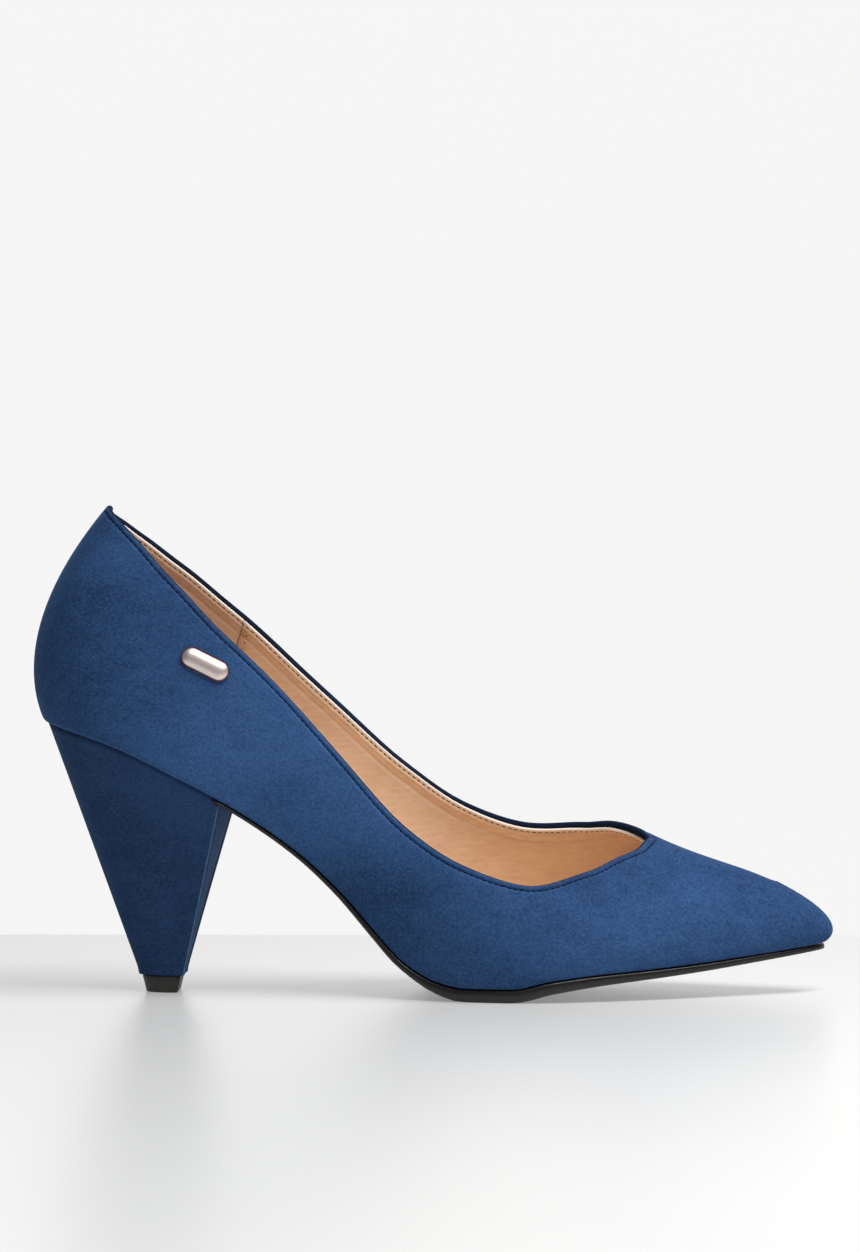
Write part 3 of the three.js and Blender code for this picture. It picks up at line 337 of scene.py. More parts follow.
def place_on_frame():
    """The shift and scale from the last's millimetres to the frame's metres, from the CAD upper's box."""
    low, high = (np.array(corner_) for corner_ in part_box("upper"))
    stations, shares = np.meshgrid(np.linspace(-TOE, TOE, 35), np.linspace(0, 1, 9), indexing="ij")
    walls = master(stations, shares * np.where(np.abs(stations) < THROAT, topline(stations), 1))
    length = walls[..., 0].max() - walls[..., 0].min()
    scale = (high[0] - low[0]) / length
    middle_y = (walls[..., 1].max() + walls[..., 1].min()) / 2
    shift = np.array([low[0] - walls[..., 0].min() * scale, (low[1] + high[1]) / 2 - middle_y * scale, 0])
    return shift, scale


SHIFT, SCALE = place_on_frame()


def placed(points):
    """The last's millimetres as the frame's metres."""
    return points * SCALE + SHIFT


def added(name, data):
    """A new object in the scene."""
    made = bpy.data.objects.new(name, data)
    bpy.context.scene.collection.objects.link(made)
    return made


class Solid:
    """Collects grids of points, then welds them into one closed mesh with its faces outwards."""

    def __init__(self):
        self.points, self.faces, self.finishes, self.count = [], [], [], 0

    def grid(self, points, finish=0, closed=False):
        """Quads between neighbouring points of a grid. closed joins its last column to its first."""
        rows, columns = points.shape[:2]
        index = np.arange(rows * columns).reshape(rows, columns) + self.count
        if closed:
            index = np.concatenate([index, index[:, :1]], 1)
        quads = np.stack([index[:-1, :-1], index[1:, :-1], index[1:, 1:], index[:-1, 1:]], -1).reshape(-1, 4)
        self.points.append(points.reshape(-1, 3))
        self.faces.append(quads)
        self.finishes.append(np.full(len(quads), finish))
        self.count += rows * columns
        return self

    def cap(self, ring, finish=0):
        """Closes a ring of points with a fan to its middle."""
        return self.grid(np.stack([ring, np.broadcast_to(ring.mean(0), ring.shape)]), finish, closed=True)

    def bands(self, points, stops, axis=0):
        """Grids in the first two finishes by turns, changing at each of the stops along an axis."""
        edges = (0, *stops, points.shape[axis] - 1)
        for k, (first, last) in enumerate(zip(edges, edges[1:])):
            self.grid(points.take(range(first, last + 1), axis), k % 2)
        return self

    def rims(self, outside, inside, rows=(0, -1)):
        """Joins two sheets along some of their rows and along their first and last columns."""
        for row in rows:
            self.grid(np.stack([outside[row], inside[row]]))
        for column in (0, -1):
            self.grid(np.stack([outside[:, column], inside[:, column]]))
        return self

    def piece(self, name, finishes, slot, replaces=(), sharp=None):
        """The welded mesh as an object that rides on the shoe."""
        mesh = bpy.data.meshes.new(name)
        mesh.from_pydata(placed(np.concatenate(self.points)), [], np.concatenate(self.faces).tolist())
        mesh.polygons.foreach_set("material_index", np.concatenate(self.finishes).astype(np.int32))
        weld = bmesh.new()
        weld.from_mesh(mesh)
        bmesh.ops.remove_doubles(weld, verts=weld.verts, dist=2e-6)
        bmesh.ops.dissolve_degenerate(weld, edges=weld.edges, dist=1e-7)
        bmesh.ops.recalc_face_normals(weld, faces=weld.faces)
        weld.to_mesh(mesh)
        weld.free()
        mesh.polygons.foreach_set("use_smooth", np.ones(len(mesh.polygons), bool))
        if sharp:
            mesh.set_sharp_from_angle(angle=math.radians(sharp))
        for finish in finishes:
            mesh.materials.append(finish)
        made = added(name, mesh)
        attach(made, "root")
        if replaces:
            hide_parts(*replaces)
        return made


# ---------- Materials ----------
def linear(red, green, blue):
    """A colour given in 0 to 255 as the linear one that shaders use."""
    c = np.array([red, green, blue]) / 255
    return (*np.where(c <= 0.04045, c / 12.92, ((c + 0.055) / 1.055) ** 2.4), 1.0)


class Value:
    """A node's output, so that shader maths can be written as expressions."""

    def __init__(self, graph, socket):
        self.graph, self.socket = graph, socket

    def maths(self, operation, *terms, clamp=False):
        return self.graph.node("Math", {"operation": operation, "use_clamp": clamp}, dict(enumerate(terms)))

    def __add__(self, other): return self.maths("ADD", self, other)
    def __radd__(self, other): return self.maths("ADD", other, self)
    def __sub__(self, other): return self.maths("SUBTRACT", self, other)
    def __rsub__(self, other): return self.maths("SUBTRACT", other, self)
    def __mul__(self, other): return self.maths("MULTIPLY", self, other)
    def __rmul__(self, other): return self.maths("MULTIPLY", other, self)
    def __truediv__(self, other): return self.maths("DIVIDE", self, other)
    def sine(self): return self.maths("SINE", self)
    def clamped(self): return self.maths("ADD", self, 0, clamp=True)


class Finish:
    """A material made from nodes. Its patterns read the piece's own Object coordinates."""

    def __init__(self, name):
        self.material = bpy.data.materials.new(name)
        self.material.use_nodes = True
        self.tree = self.material.node_tree
        self.tree.nodes.clear()
        self.place = self.node("TexCoord", output="Object")

    def node(self, kind, settings=None, inputs=None, output=0):
        """Any node: its type, its settings, then its inputs as values or links."""
        made = self.tree.nodes.new("ShaderNode" + kind)
        for key, value in (settings or {}).items():
            setattr(made, key, value)
        for key, value in (inputs or {}).items():
            if isinstance(value, Value):
                self.tree.links.new(value.socket, made.inputs[key])
            else:
                made.inputs[key].default_value = value
        return Value(self, made.outputs[output])

    def axis(self, k):
        """Place along x, y or z."""
        return self.node("SeparateXYZ", {}, {"Vector": self.place}, k)

    def scaled(self, size, stretch):
        """Place counted in features of a size in millimetres, stretched along the axes."""
        scale = tuple(1 / (size * MM * s) for s in stretch)
        return self.node("Mapping", {}, {"Vector": self.place, "Scale": scale})

    def noise(self, size, detail=2.0, stretch=(1, 1, 1), roughness=0.5, distortion=0.0):
        """Noise from 0 to 1 with features of a size in millimetres."""
        return self.node("TexNoise", {}, {
            "Vector": self.scaled(size, stretch), "Scale": 1.0,
            "Detail": detail, "Roughness": roughness, "Distortion": distortion,
        })

    def cells(self, size, stretch=(1, 1, 1)):
        """Distance to the nearest of scattered points, in cells of a size in millimetres."""
        inputs = {"Vector": self.scaled(size, stretch), "Scale": 1.0}
        return self.node("TexVoronoi", {"feature": "F1"}, inputs, "Distance")

    def between(self, value, low, high):
        """0 up to low, 1 from high, smooth between."""
        return self.node("MapRange", {"interpolation_type": "SMOOTHSTEP"}, {
            "Value": value, "From Min": low, "From Max": high,
        })

    def mix(self, factor, a, b):
        """Two colours mixed."""
        return self.node("Mix", {"data_type": "RGBA", "blend_type": "MIX"}, {0: factor, 6: a, 7: b}, 2)

    def bump(self, height, distance):
        """A relief from 0 to 1 turned into shading, with its full height in millimetres."""
        return self.node("Bump", {}, {"Height": height, "Distance": distance * MM, "Strength": 1.0})

    def surface(self, **inputs):
        """The finished material: sockets of the Principled shader by name, with _ for a space."""
        named = {key.replace("_", " "): value for key, value in inputs.items()}
        shader = self.node("BsdfPrincipled", {}, named)
        out = self.tree.nodes.new("ShaderNodeOutputMaterial")
        self.tree.links.new(shader.socket, out.inputs["Surface"])
        return self.material


PAINTED_LIGHT_AT = (-0.042, 0.068)  # x and z, in metres, of the painted light patch on the sides, where the lights fall brightest
PAINTED_LIGHT_SIZE = (0.06, 0.042)  # its half length and half height


def suede(name, dark, light, nap=1.0):
    """Brushed suede: mottled where the nap lies one way or another, with painted light that makes the sides
    lighter where the lights fall brightest, and a fine speckle of fibre ends."""
    f = Finish(name)
    patches = f.noise(26, 2, (1.6, 1, 1), 0.5, 0.4)
    brushed = f.noise(4, 4, (2.2, 1, 1), 0.65, 0.3)
    fibres = f.noise(0.75, 4, (1.3, 1, 1), 0.75)
    specks = f.noise(0.3, 2)
    glints = f.between(f.noise(0.55, 1), 0.76, 0.86)
    across = (f.axis(0) - PAINTED_LIGHT_AT[0]) / PAINTED_LIGHT_SIZE[0]
    up = (f.axis(2) - PAINTED_LIGHT_AT[1]) / PAINTED_LIGHT_SIZE[1]
    # Painted light: an ellipse on the sides made lighter, where the lights fall brightest.
    painted_light_patch = f.between(across * across + up * up, 1.0, 0.0)
    tone = f.between(patches, 0.3, 0.7) * 0.2 + f.between(brushed, 0.25, 0.75) * 0.15 + painted_light_patch * 0.24
    tone = (tone + f.between(fibres, 0.25, 0.75) * 0.5 + specks * 0.15 + glints * 0.5 - 0.02).clamped()
    colour = f.mix(tone, linear(*dark), linear(*light))
    relief = fibres * 0.7 + specks * 0.4 + brushed * 0.4
    return f.surface(
        Base_Color=colour, Roughness=0.96, Specular_IOR_Level=0.12, Sheen_Weight=0.22 * nap,
        Sheen_Roughness=0.45, Sheen_Tint=linear(96, 140, 205), Normal=f.bump(relief, 0.12 * nap),
    )


def leather(name, dark, light, streaks, roughness):
    """Smooth lining leather: fine pores, faint streaks along the shoe and soft changes of tone."""
    f = Finish(name)
    patches = f.noise(22, 2, (2, 1, 1))
    grain = f.noise(1.1, 3, (5, 1, 1), 0.6)
    pores = f.cells(0.45)
    tone = f.between(patches * (1 - streaks) + grain * streaks, 0.3, 0.7)
    colour = f.mix(tone, linear(*dark), linear(*light))
    relief = f.between(pores, 0.05, 0.4) * 0.5 + grain * 0.5
    return f.surface(
        Base_Color=colour, Roughness=roughness + (grain - 0.5) * 0.12, Specular_IOR_Level=0.4,
        Normal=f.bump(relief, 0.025),
    )


def sole_finish():
    """Smooth synthetic sole: nearly black, faint moulded grain and a few long scuffs."""
    f = Finish("sole_synthetic")
    grain = f.noise(0.5, 2)
    scuffs = f.between(f.noise(2.2, 3, (7, 1, 1), 0.6), 0.6, 0.72)
    colour = f.mix(scuffs * 0.5, linear(24, 23, 23), linear(44, 42, 41))
    return f.surface(
        Base_Color=colour, Roughness=0.33 + scuffs * 0.18 + (grain - 0.5) * 0.1, Specular_IOR_Level=0.55,
        Normal=f.bump(grain, 0.015),
    )


def top_piece_finish():
    """Dense moulded heel tip: dark, a little olive, evenly grained."""
    f = Finish("top_piece_plastic")
    grain = f.cells(0.34)
    cloud = f.noise(3, 2)
    colour = f.mix(cloud, linear(40, 40, 36), linear(56, 55, 49))
    return f.surface(Base_Color=colour, Roughness=0.46 + grain * 0.12, Normal=f.bump(grain, 0.02))


def metal(name, colour, roughness, brush=(1, 1, 1)):
    """Metal with a faint grain, stretched where it is brushed or drawn."""
    f = Finish(name)
    grain = f.noise(0.5, 3, brush, 0.6)
    tone = f.mix(grain * 0.25, linear(*colour), linear(*(0.8 * c for c in colour)))
    return f.surface(
        Base_Color=tone, Metallic=1.0, Roughness=roughness + (grain - 0.5) * 0.1,
        Normal=f.bump(grain, 0.004),
    )


def granular(name, dark, light, size, relief, stretch=(1, 1, 1), roughness=0.9):
    """Pressed board, cork, foam or felt: grains of a size in millimetres in two tones."""
    f = Finish(name)
    grains = f.cells(size, stretch)
    cloud = f.noise(size * 6, 3, stretch)
    tone = (f.between(grains, 0.1, 0.7) * 0.6 + cloud * 0.4).clamped()
    return f.surface(
        Base_Color=f.mix(tone, linear(*dark), linear(*light)), Roughness=roughness,
        Normal=f.bump(grains, relief),
    )


def woven(name, dark, light, pitch):
    """Plain woven tape: threads over and under each other along and across the shoe."""
    f = Finish(name)
    scale = 2 * math.pi / (pitch * MM)
    x, y, z = (f.axis(k) for k in range(3))
    waves = (x * scale).sine() * (z * scale + y * scale).sine() * 0.5 + 0.5
    tone = (waves * 0.7 + f.noise(0.6) * 0.3).clamped()
    return f.surface(
        Base_Color=f.mix(tone, linear(*dark), linear(*light)), Roughness=0.9, Normal=f.bump(waves, 0.06)
    )


def studio_finish(name, tone, glow, roughness):
    """Pale studio surface, very slightly clouded. glow stands for lights of its own."""
    f = Finish(name)
    cloud = f.noise(90, 2)
    colour = f.mix(cloud, linear(*tone), linear(*(v + 3 for v in tone)))
    return f.surface(
        Base_Color=colour, Roughness=roughness, Specular_IOR_Level=0.35,
        Emission_Color=(1, 1, 0.995, 1), Emission_Strength=glow,
    )


# Painted shade: a darker copy of the suede for the stitched groove and the fold's shaded side.
PAINTED_SHADE_SUEDE = suede("navy_suede_painted_shade", (8, 16, 32), (26, 44, 74), 0.6)
SUEDE = suede("navy_suede", (19, 38, 69), (64, 102, 155))
# Painted shade: a darker copy of the suede for the heel, which faces down, away from the lights.
PAINTED_SHADE_HEEL_SUEDE = suede("navy_suede_heel_painted_shade", (17, 33, 60), (53, 83, 126))
# Painted highlight: a much lighter copy of the suede for the heel cover's two corners, where they catch the
# light.
PAINTED_HIGHLIGHT_SUEDE = suede("navy_suede_painted_highlight", (52, 82, 122), (116, 150, 192))
# Painted light: a lighter copy of the suede for the heel's breast, which faces the light from the toe's
# side.
PAINTED_LIGHT_BREAST_SUEDE = suede("navy_suede_breast_painted_light", (26, 46, 76), (72, 106, 150))
LINING = leather("tan_lining_leather", (224, 185, 150), (243, 212, 179), 0.45, 0.42)
GRIP = suede("tan_grip_suede", (200, 163, 135), (226, 192, 164), 0.4)
CUT_EDGE = granular("cream_cut_edge", (236, 216, 194), (254, 243, 230), 0.3, 0.03)
THREAD = suede("navy_thread", (4, 8, 16), (12, 20, 34), 0.1)
SOLE = sole_finish()
TIP = top_piece_finish()
ROSE = metal("rose_metal", (255, 240, 235), 0.42)
ROSE_RIM = metal("rose_metal_rim", (168, 84, 66), 0.3)
STEEL = metal("steel_strip", (178, 180, 182), 0.3, (9, 1, 1))
BOARD = granular("fibre_board", (132, 110, 82), (168, 146, 112), 0.7, 0.05, (2, 1, 1))
FELT = granular("fibre_stiffener", (200, 192, 176), (226, 220, 206), 0.5, 0.05)
FOAM = granular("latex_foam", (214, 204, 178), (238, 232, 214), 0.6, 0.12)
CORK = granular("cork_filler", (138, 98, 60), (196, 152, 104), 1.3, 0.12)
CORE = granular("moulded_core", (214, 210, 198), (230, 227, 217), 0.4, 0.02, roughness=0.45)
TAPE = woven("woven_tape", (206, 204, 196), (242, 241, 235), 0.5)


# ---------- Upper ----------
BACK_HALF = spread(0, 10, 0.25, 12, 1, 12, 3, 30, 9, 22, 11, 22, 12)
FRONT_HALF = spread(12, 14, 13, 14, 15, 16, 16.2, 14, 17)
HALF = np.concatenate([BACK_HALF, FRONT_HALF[1:]])
CORNER_REACH = 2.0  # where the corner's bend starts on the margin
CORNER_SHARE = 0.045  # and where it ends on the wall, as a share of it


def leaning(u, height):
    """Stations near the linings' seam, moved back the lower they are below the top edge, so that the
    seam leans. height is 1 at the top edge and 0 at the sole."""
    return u - np.sign(u) * SEAM_LEAN * (1 - height) * np.exp(-((np.abs(u) - LINING_SEAM) ** 2))


def lasted(u, depth, reach, lean=0.0):
    """Rows of a layer from its margin under the insole, round the corner in a quadratic Bezier and up
    the wall to the band along the top edge, or to the ridge before the throat."""
    columns = np.asarray(u, float)[None, :]
    top = 1 - lean * BAND / WALL
    u = leaning(columns, 1 - lean)
    behind = np.abs(u) < THROAT
    upmost = leaning(columns, top)
    band_station, band_share = rim(np.where(behind, upmost, 0), BAND)
    forward = np.sign(u) * MITRE_RUN * BAND * (TOE - np.abs(u)) / (TOE - THROAT)
    top_station = np.where(behind, band_station, u + forward)
    top_share = np.where(behind, band_share, 1)
    t = spread(CORNER_SHARE, 8, 0.25, 16, 0.8, 6, 1)[:, None]
    wall = skin(u + (top_station - u) * t ** (2 - lean), t * top_share, depth)
    turned_in = margin(u, CORNER_REACH, depth)
    k = spread(0, 6, 1)[1:-1, None, None]
    bend = (1 - k) ** 2 * turned_in + 2 * k * (1 - k) * corner(u, depth) + k * k * wall[:1]
    under = margin(u, spread(reach, 4, CORNER_REACH)[:, None], depth)
    return np.concatenate([under, bend, wall])


def band_rows(u, profile, lean=0.0):
    """Rows along the top edge through (drop, depth) pairs of a profile."""
    drop, depth = np.array(profile).T[..., None]
    u = leaning(np.asarray(u, float)[None, :], 1 - lean * drop / WALL)
    return rim_point(u, drop, depth)


def groove(drop, at, width, depth):
    """A rounded dent of a depth along a line at a distance below the edge."""
    return depth * np.exp(-(((drop - at) / width) ** 2))


def upper_profile(groove_depth):
    """The upper's top edge in section: down the outside with the stitched groove, round the fold, down
    the turned leaf inside, round its cut end and back up to the inside of the skin."""
    drop = spread(BAND, 5, 4.2, 14, 1.3, 2, FOLD_RADIUS)[:-1]
    outside = np.stack([drop, groove(drop, STITCH_DROP, GROOVE_WIDTH, groove_depth)], 1)
    angle = spread(0, 10, math.pi)
    fold = np.stack([FOLD_RADIUS * (1 - np.sin(angle)), FOLD_RADIUS * (1 - np.cos(angle))], 1)
    inside = 2 * FOLD_RADIUS
    leaf = [(1.6, inside), (2.4, inside), (3.6, inside), (4.6, inside), (FOLD_LEAF, inside - 0.12)]
    back = [(FOLD_LEAF, LEAF_OUTSIDE + 0.12), (4.6, LEAF_OUTSIDE), (3.2, LEAF_OUTSIDE), (2, LEAF_OUTSIDE)]
    hollow = [(1.78, 1.5), (1.72, 1.4), (1.78, 1.3)]
    skin_inside = [(drop, UPPER_THICKNESS) for drop in (2, 4, 6, BAND)]
    return np.concatenate([outside, fold, leaf, back, hollow, skin_inside])


# Rows of the profile between which shade is painted in a darker suede: in the stitched groove, and from the
# crest of the fold down the leaf.
PAINTED_SHADE_ROWS = (16, 17, 23, 38)


def upper():
    """The suede skin from its margin under the insole, up the wall and round the fold along the top."""
    loop = np.concatenate([HALF, -HALF[-2:0:-1]])
    outside = lasted(loop, 0.0, UPPER_MARGIN)
    inside = lasted(loop, UPPER_THICKNESS, UPPER_MARGIN)
    around = np.concatenate([-BACK_HALF[:0:-1], BACK_HALF])
    plain, grooved = (band_rows(around, upper_profile(depth)) for depth in (0.0, GROOVE_DEPTH))
    fold = plain + (grooved - plain) * smoothstep(np.abs(around) / BACK_SEAM_REACH)[:, None]
    made = Solid().grid(outside, closed=True).grid(inside, closed=True)
    made.grid(np.stack([outside[0], inside[0]]), closed=True)
    # The groove and the fold down the leaf take the painted shade suede.
    made.bands(fold, PAINTED_SHADE_ROWS)
    made.piece("upper_suede", [SUEDE, PAINTED_SHADE_SUEDE], "suede", ["upper"])


TAPE_END = 10.75  # station
TAPE_PROFILE = [
    (5.6, 1.26), (4, 1.26), (2.1, 1.26), (1.9, 1.34), (1.9, 1.46), (2.1, 1.54), (4, 1.54), (5.6, 1.54),
]


def topline_tape():
    """A closed strip inside the fold along the top edge, capped at its two ends."""
    half = BACK_HALF[BACK_HALF < TAPE_END]
    rows = band_rows(np.concatenate([-half[:0:-1], half]), TAPE_PROFILE)
    middle = len(rows) // 2
    made = Solid().grid(np.concatenate([rows, rows[:1]]))
    for end in (0, -1):
        made.grid(np.stack([rows[:middle, end], rows[:middle - 1:-1, end]]))
    made.piece("topline_tape_strip", [TAPE], "tape", ["topline_tape"])


# ---------- Linings ----------
LINING_DIP = 0.22  # at the stitches
# Dents in the inside of the lining: the distance below the top edge, the width and the depth. It dips
# at the stitches, puckers out below them and creases where the upper's leaf ends under it.
LINING_DENTS = [(STITCH_DROP, 0.35, LINING_DIP), (STITCH_DROP + 0.95, 0.5, -0.2), (5.2, 0.55, 0.28)]
CREAM_ROWS = (4, 9)  # rows of the profile that are the cut edge


def lining_profile():
    """The lining's top edge in section: up the back, over the cut edge and down the dented inside."""
    back = [(BAND, LINING_DEPTH), (6, LINING_DEPTH), (4, LINING_DEPTH), (2, LINING_DEPTH)]
    edge = [(LINING_DROP + 0.1, LINING_DEPTH), (LINING_DROP, LINING_DEPTH + 0.1)]
    over = [(LINING_DROP, LINING_INSIDE - 0.2), (LINING_DROP + 0.16, LINING_INSIDE - 0.02)]
    drop = spread(1.6, 22, 7, 2, BAND)
    depth = LINING_INSIDE - sum(groove(drop, *dent) for dent in LINING_DENTS)
    return np.concatenate([back, edge, over, np.stack([drop, depth], 1)])


def lining(name, u, finish, slot, replaces):
    """A lining through stations round the shoe, with its cut edge in cream. Its wall is two sheets, and
    its band along the top edge is closed at the seam by grids across it."""
    outside, inside = (lasted(u, depth, LINING_MARGIN, 1.0) for depth in (LINING_DEPTH, LINING_INSIDE))
    made = Solid().grid(outside).grid(inside).rims(outside, inside, rows=(0,))
    turn = CREAM_ROWS[-1]
    for side in (u[(u >= 0) & (u <= THROAT)], u[(u <= 0) & (u >= -THROAT)]):
        rows = band_rows(side, lining_profile(), 1.0)
        made.bands(rows, CREAM_ROWS)
        for end in (0, -1):
            if abs(side[end]) in (0, THROAT):
                continue
            column = rows[:, end]
            inner = column[turn:]
            outer = column[0] + (column[turn] - column[0]) * np.linspace(0, 1, len(inner))[::-1, None]
            made.grid(np.stack([outer, inner]))
            made.grid(np.stack([column[: turn + 1], np.linspace(column[0], column[turn], turn + 1)]))
    made.piece(name, [finish, CUT_EDGE], slot, replaces)


LEAST_STEP = 0.03  # stations between a lining's end and its next column


def linings():
    """The leather lining round the toe and the suede one round the heel, which meet at the two seams."""
    start, end = LINING_SEAM + SEAM_GAP, LINING_SEAM - SEAM_GAP
    front = np.concatenate([[start], HALF[HALF > start + LEAST_STEP]])
    back = np.concatenate([BACK_HALF[BACK_HALF < end - LEAST_STEP], [end]])
    lining("vamp_lining_leather", np.concatenate([front, -front[-2::-1]]), LINING, "lining", ["vamp_lining"])
    lining("heel_grip_suede", np.concatenate([-back[:0:-1], back]), GRIP, "grip", ["heel_grip_lining"])


# ---------- Threads ----------
STITCH_RINGS = np.array([-1, -0.82, -0.4, 0.4, 0.82, 1])  # from end to end, as shares of half its length
STITCH_SIDES = 6
STITCH_BLUNTNESS = 3.5


def threads(name, places, normals, pitch, length, radius, sink):
    """Stitches along a line of places: small capsules, evenly spaced, partly sunk into the surface.
    A stitch's girth is the root of 1 less a high power of the share of the way to its end."""
    steps = np.linalg.norm(np.diff(places, axis=0), axis=1)
    run = np.concatenate([[0], np.cumsum(steps)])
    count = int(run[-1] // pitch)
    starts = (np.arange(count) + 0.5) * run[-1] / count

    def along(distance, values):
        return np.stack([np.interp(distance, run, values[:, k]) for k in range(3)], 1)

    middle = along(starts, places)
    axis = unit(along(starts + length / 2, places) - along(starts - length / 2, places))
    out = unit(along(starts, normals))
    side = unit(np.cross(axis, out))
    out = np.cross(side, axis)
    girth = np.sqrt(np.maximum(1 - np.abs(STITCH_RINGS) ** STITCH_BLUNTNESS, 0)) * radius
    angle = np.arange(STITCH_SIDES) * 2 * math.pi / STITCH_SIDES
    ring_out, ring_side = np.outer(girth, np.cos(angle)), np.outer(girth, np.sin(angle))
    made = Solid()
    for k in range(count):
        ring = (
            middle[k] - out[k] * radius * sink
            + axis[k] * (STITCH_RINGS * length / 2)[:, None, None]
            + out[k] * ring_out[..., None]
            + side[k] * ring_side[..., None]
        )
        made.grid(ring, closed=True)
    made.piece(name, [THREAD], "suede")


def topline_threads():
    """Rows of stitches along the top edge, in the groove outside and in the lining's dip inside."""
    end = THROAT - PROBE
    line = rim(np.linspace(-end, end, 4000), STITCH_DROP)
    stitch = STITCH_PITCH, STITCH_LENGTH, THREAD_RADIUS, THREAD_SINK
    threads("topline_thread_outside", skin(*line, GROOVE_DEPTH), outward(*line), *stitch)
    threads("topline_thread_inside", skin(*line, LINING_INSIDE - LINING_DIP), -outward(*line), *stitch)


def seam_threads():
    """Short stitches just in front of the two seams between the linings."""
    for name, side in (("lining_seam_thread_outer", 1), ("lining_seam_thread_inner", -1)):
        drop = np.linspace(SEAM_TOP_DROP, SEAM_FOOT_DROP, 200)
        line = rim(leaning(np.full_like(drop, side * SEAM_STATION), 1 - drop / WALL), drop)
        threads(
            name, skin(*line, LINING_INSIDE), -outward(*line),
            SEAM_PITCH, SEAM_STITCH_LENGTH, SEAM_THREAD_RADIUS, SEAM_THREAD_SINK,
        )


# ---------- Plates that follow the bottom ----------
def station_at(x):
    """The station where the sole's outer edge is a distance x from the back, read off its curve."""
    stations = np.linspace(0, TOE, 2000)
    return np.interp(x, edge_point(stations)[:, 0], stations)


def plate(name, stations, outline, section, face, finish, slot, replaces, across=16):
    """A plate between the outer and inner sides. outline(station, inset) gives x and y. section lists
    (inset, height) pairs of its rim, from the middle of its lower face at height 0 to its upper at 1.
    face(x, v, height) is the depth there, with v from 1 on the outer rim to -1 on the inner."""
    insets, heights = np.array(section).T
    sides = [np.stack([np.stack(outline(k * stations, inset), -1) for inset in insets], 1) for k in (1, -1)]
    blend = np.linspace(1, -1, across)[1:-1]

    def crossing(k, weights):
        w = weights[None, :, None]
        return sides[0][:, None, k] * (1 + w) / 2 + sides[1][:, None, k] * (1 - w) / 2

    flat = np.concatenate([sides[0], crossing(-1, blend), sides[1][:, ::-1], crossing(0, -blend)], 1)
    height = np.concatenate([heights, np.full(len(blend), heights[-1]), heights[::-1], np.zeros(len(blend))])
    v = np.concatenate([np.ones(len(heights)), blend, -np.ones(len(heights)), -blend])
    grid = at_depth(flat[..., 0], flat[..., 1], face(flat[..., 0], v, height))
    made = Solid().grid(grid, closed=True)
    for end in (0, -1):
        made.cap(grid[end])
    return made.piece(name, [finish], slot, replaces)


SOCK_OUTLINE_DEPTH = 6.0  # the sock's edge stands inside a layer of this depth
SOCK_THICKNESS = 0.8
SOCK_EDGE_RISE = 0.5
SHANK_DEPTH = 5.7
PAD_DEPTH = 8.2
HEEL_PAD = 2.4
BALL_PAD = 2.2
HEEL_PAD_REACH = 7.0  # from the edge of the sole
BALL_PAD_REACH = 7.5
HEEL_PAD_END_X = 48
BALL_PAD_ENDS_X = (121, 188)
PAD_CROWN = 0.3  # share of its thickness that a pad loses at its rim
PAD_TOP = PAD_DEPTH + HEEL_PAD + GAP
sock_depth = steady_curve([
    (0, PAD_TOP), (51, PAD_TOP), (68, PAD_DEPTH), (188, PAD_DEPTH), (204, SHANK_DEPTH), (240, SHANK_DEPTH),
])


def sock_lining():
    """The leather that the foot stands on, over the pads, with its edges turned up a little."""
    section = [(0.3, 0), (0, 0.3), (0, 0.6), (0.12, 0.9), (0.35, 1)]
    plate(
        "sock_lining_leather", spread(0, 12, 1, 40, 13, 20, 15),
        lambda s, inset: bottom_outline(s, SOCK_OUTLINE_DEPTH + inset), section,
        lambda x, v, height: sock_depth(x) + (SOCK_THICKNESS + SOCK_EDGE_RISE * v**4) * height,
        LINING, "lining", ["sock_lining"],
    )


def cushions():
    """Foam under the heel and the ball: crowned, with thin edges."""
    section = [(1.2, 0), (0.3, 0.1), (0, 0.35), (0.3, 0.65), (1.2, 0.85)]

    def edge(reach):
        return lambda s, inset: np.moveaxis(margin(s, reach + inset, 0)[..., :2], -1, 0)

    def crowned(low, thickness):
        return lambda x, v, height: low + thickness * height * (1 - PAD_CROWN * v**4 * height)

    heel = plate(
        "heel_cushion_foam", spread(0, 10, 1, 24, station_at(HEEL_PAD_END_X)),
        edge(HEEL_PAD_REACH), section, crowned(PAD_DEPTH, HEEL_PAD),
        FOAM, "foam", ["heel_cushion"],
    )
    first, last = station_at(BALL_PAD_ENDS_X)
    ball = plate(
        "forefoot_cushion_foam", spread(first, 30, last),
        edge(BALL_PAD_REACH), section, crowned(SHANK_DEPTH, BALL_PAD),
        FOAM, "foam", ["forefoot_cushion"],
    )


def outsole():
    """The thin sole, rounded at its rim, from where it is tucked behind the breast to the toe."""
    section = [(1.2, 0), (0.45, 0.06), (0.1, 0.25), (0, 0.55), (0.05, 0.85), (0.3, 1)]
    plate(
        "outsole_synthetic", spread(station_at(BREAST_TOP_X - SOLE_TUCK), 60, 13, 24, 16, 16, TOE),
        lambda s, inset: bottom_outline(s, GAP + inset), section,
        lambda x, v, height: -GAP - outsole_thickness(x) * (1 - height),
        SOLE, "sole", ["outsole"], across=24,
    )


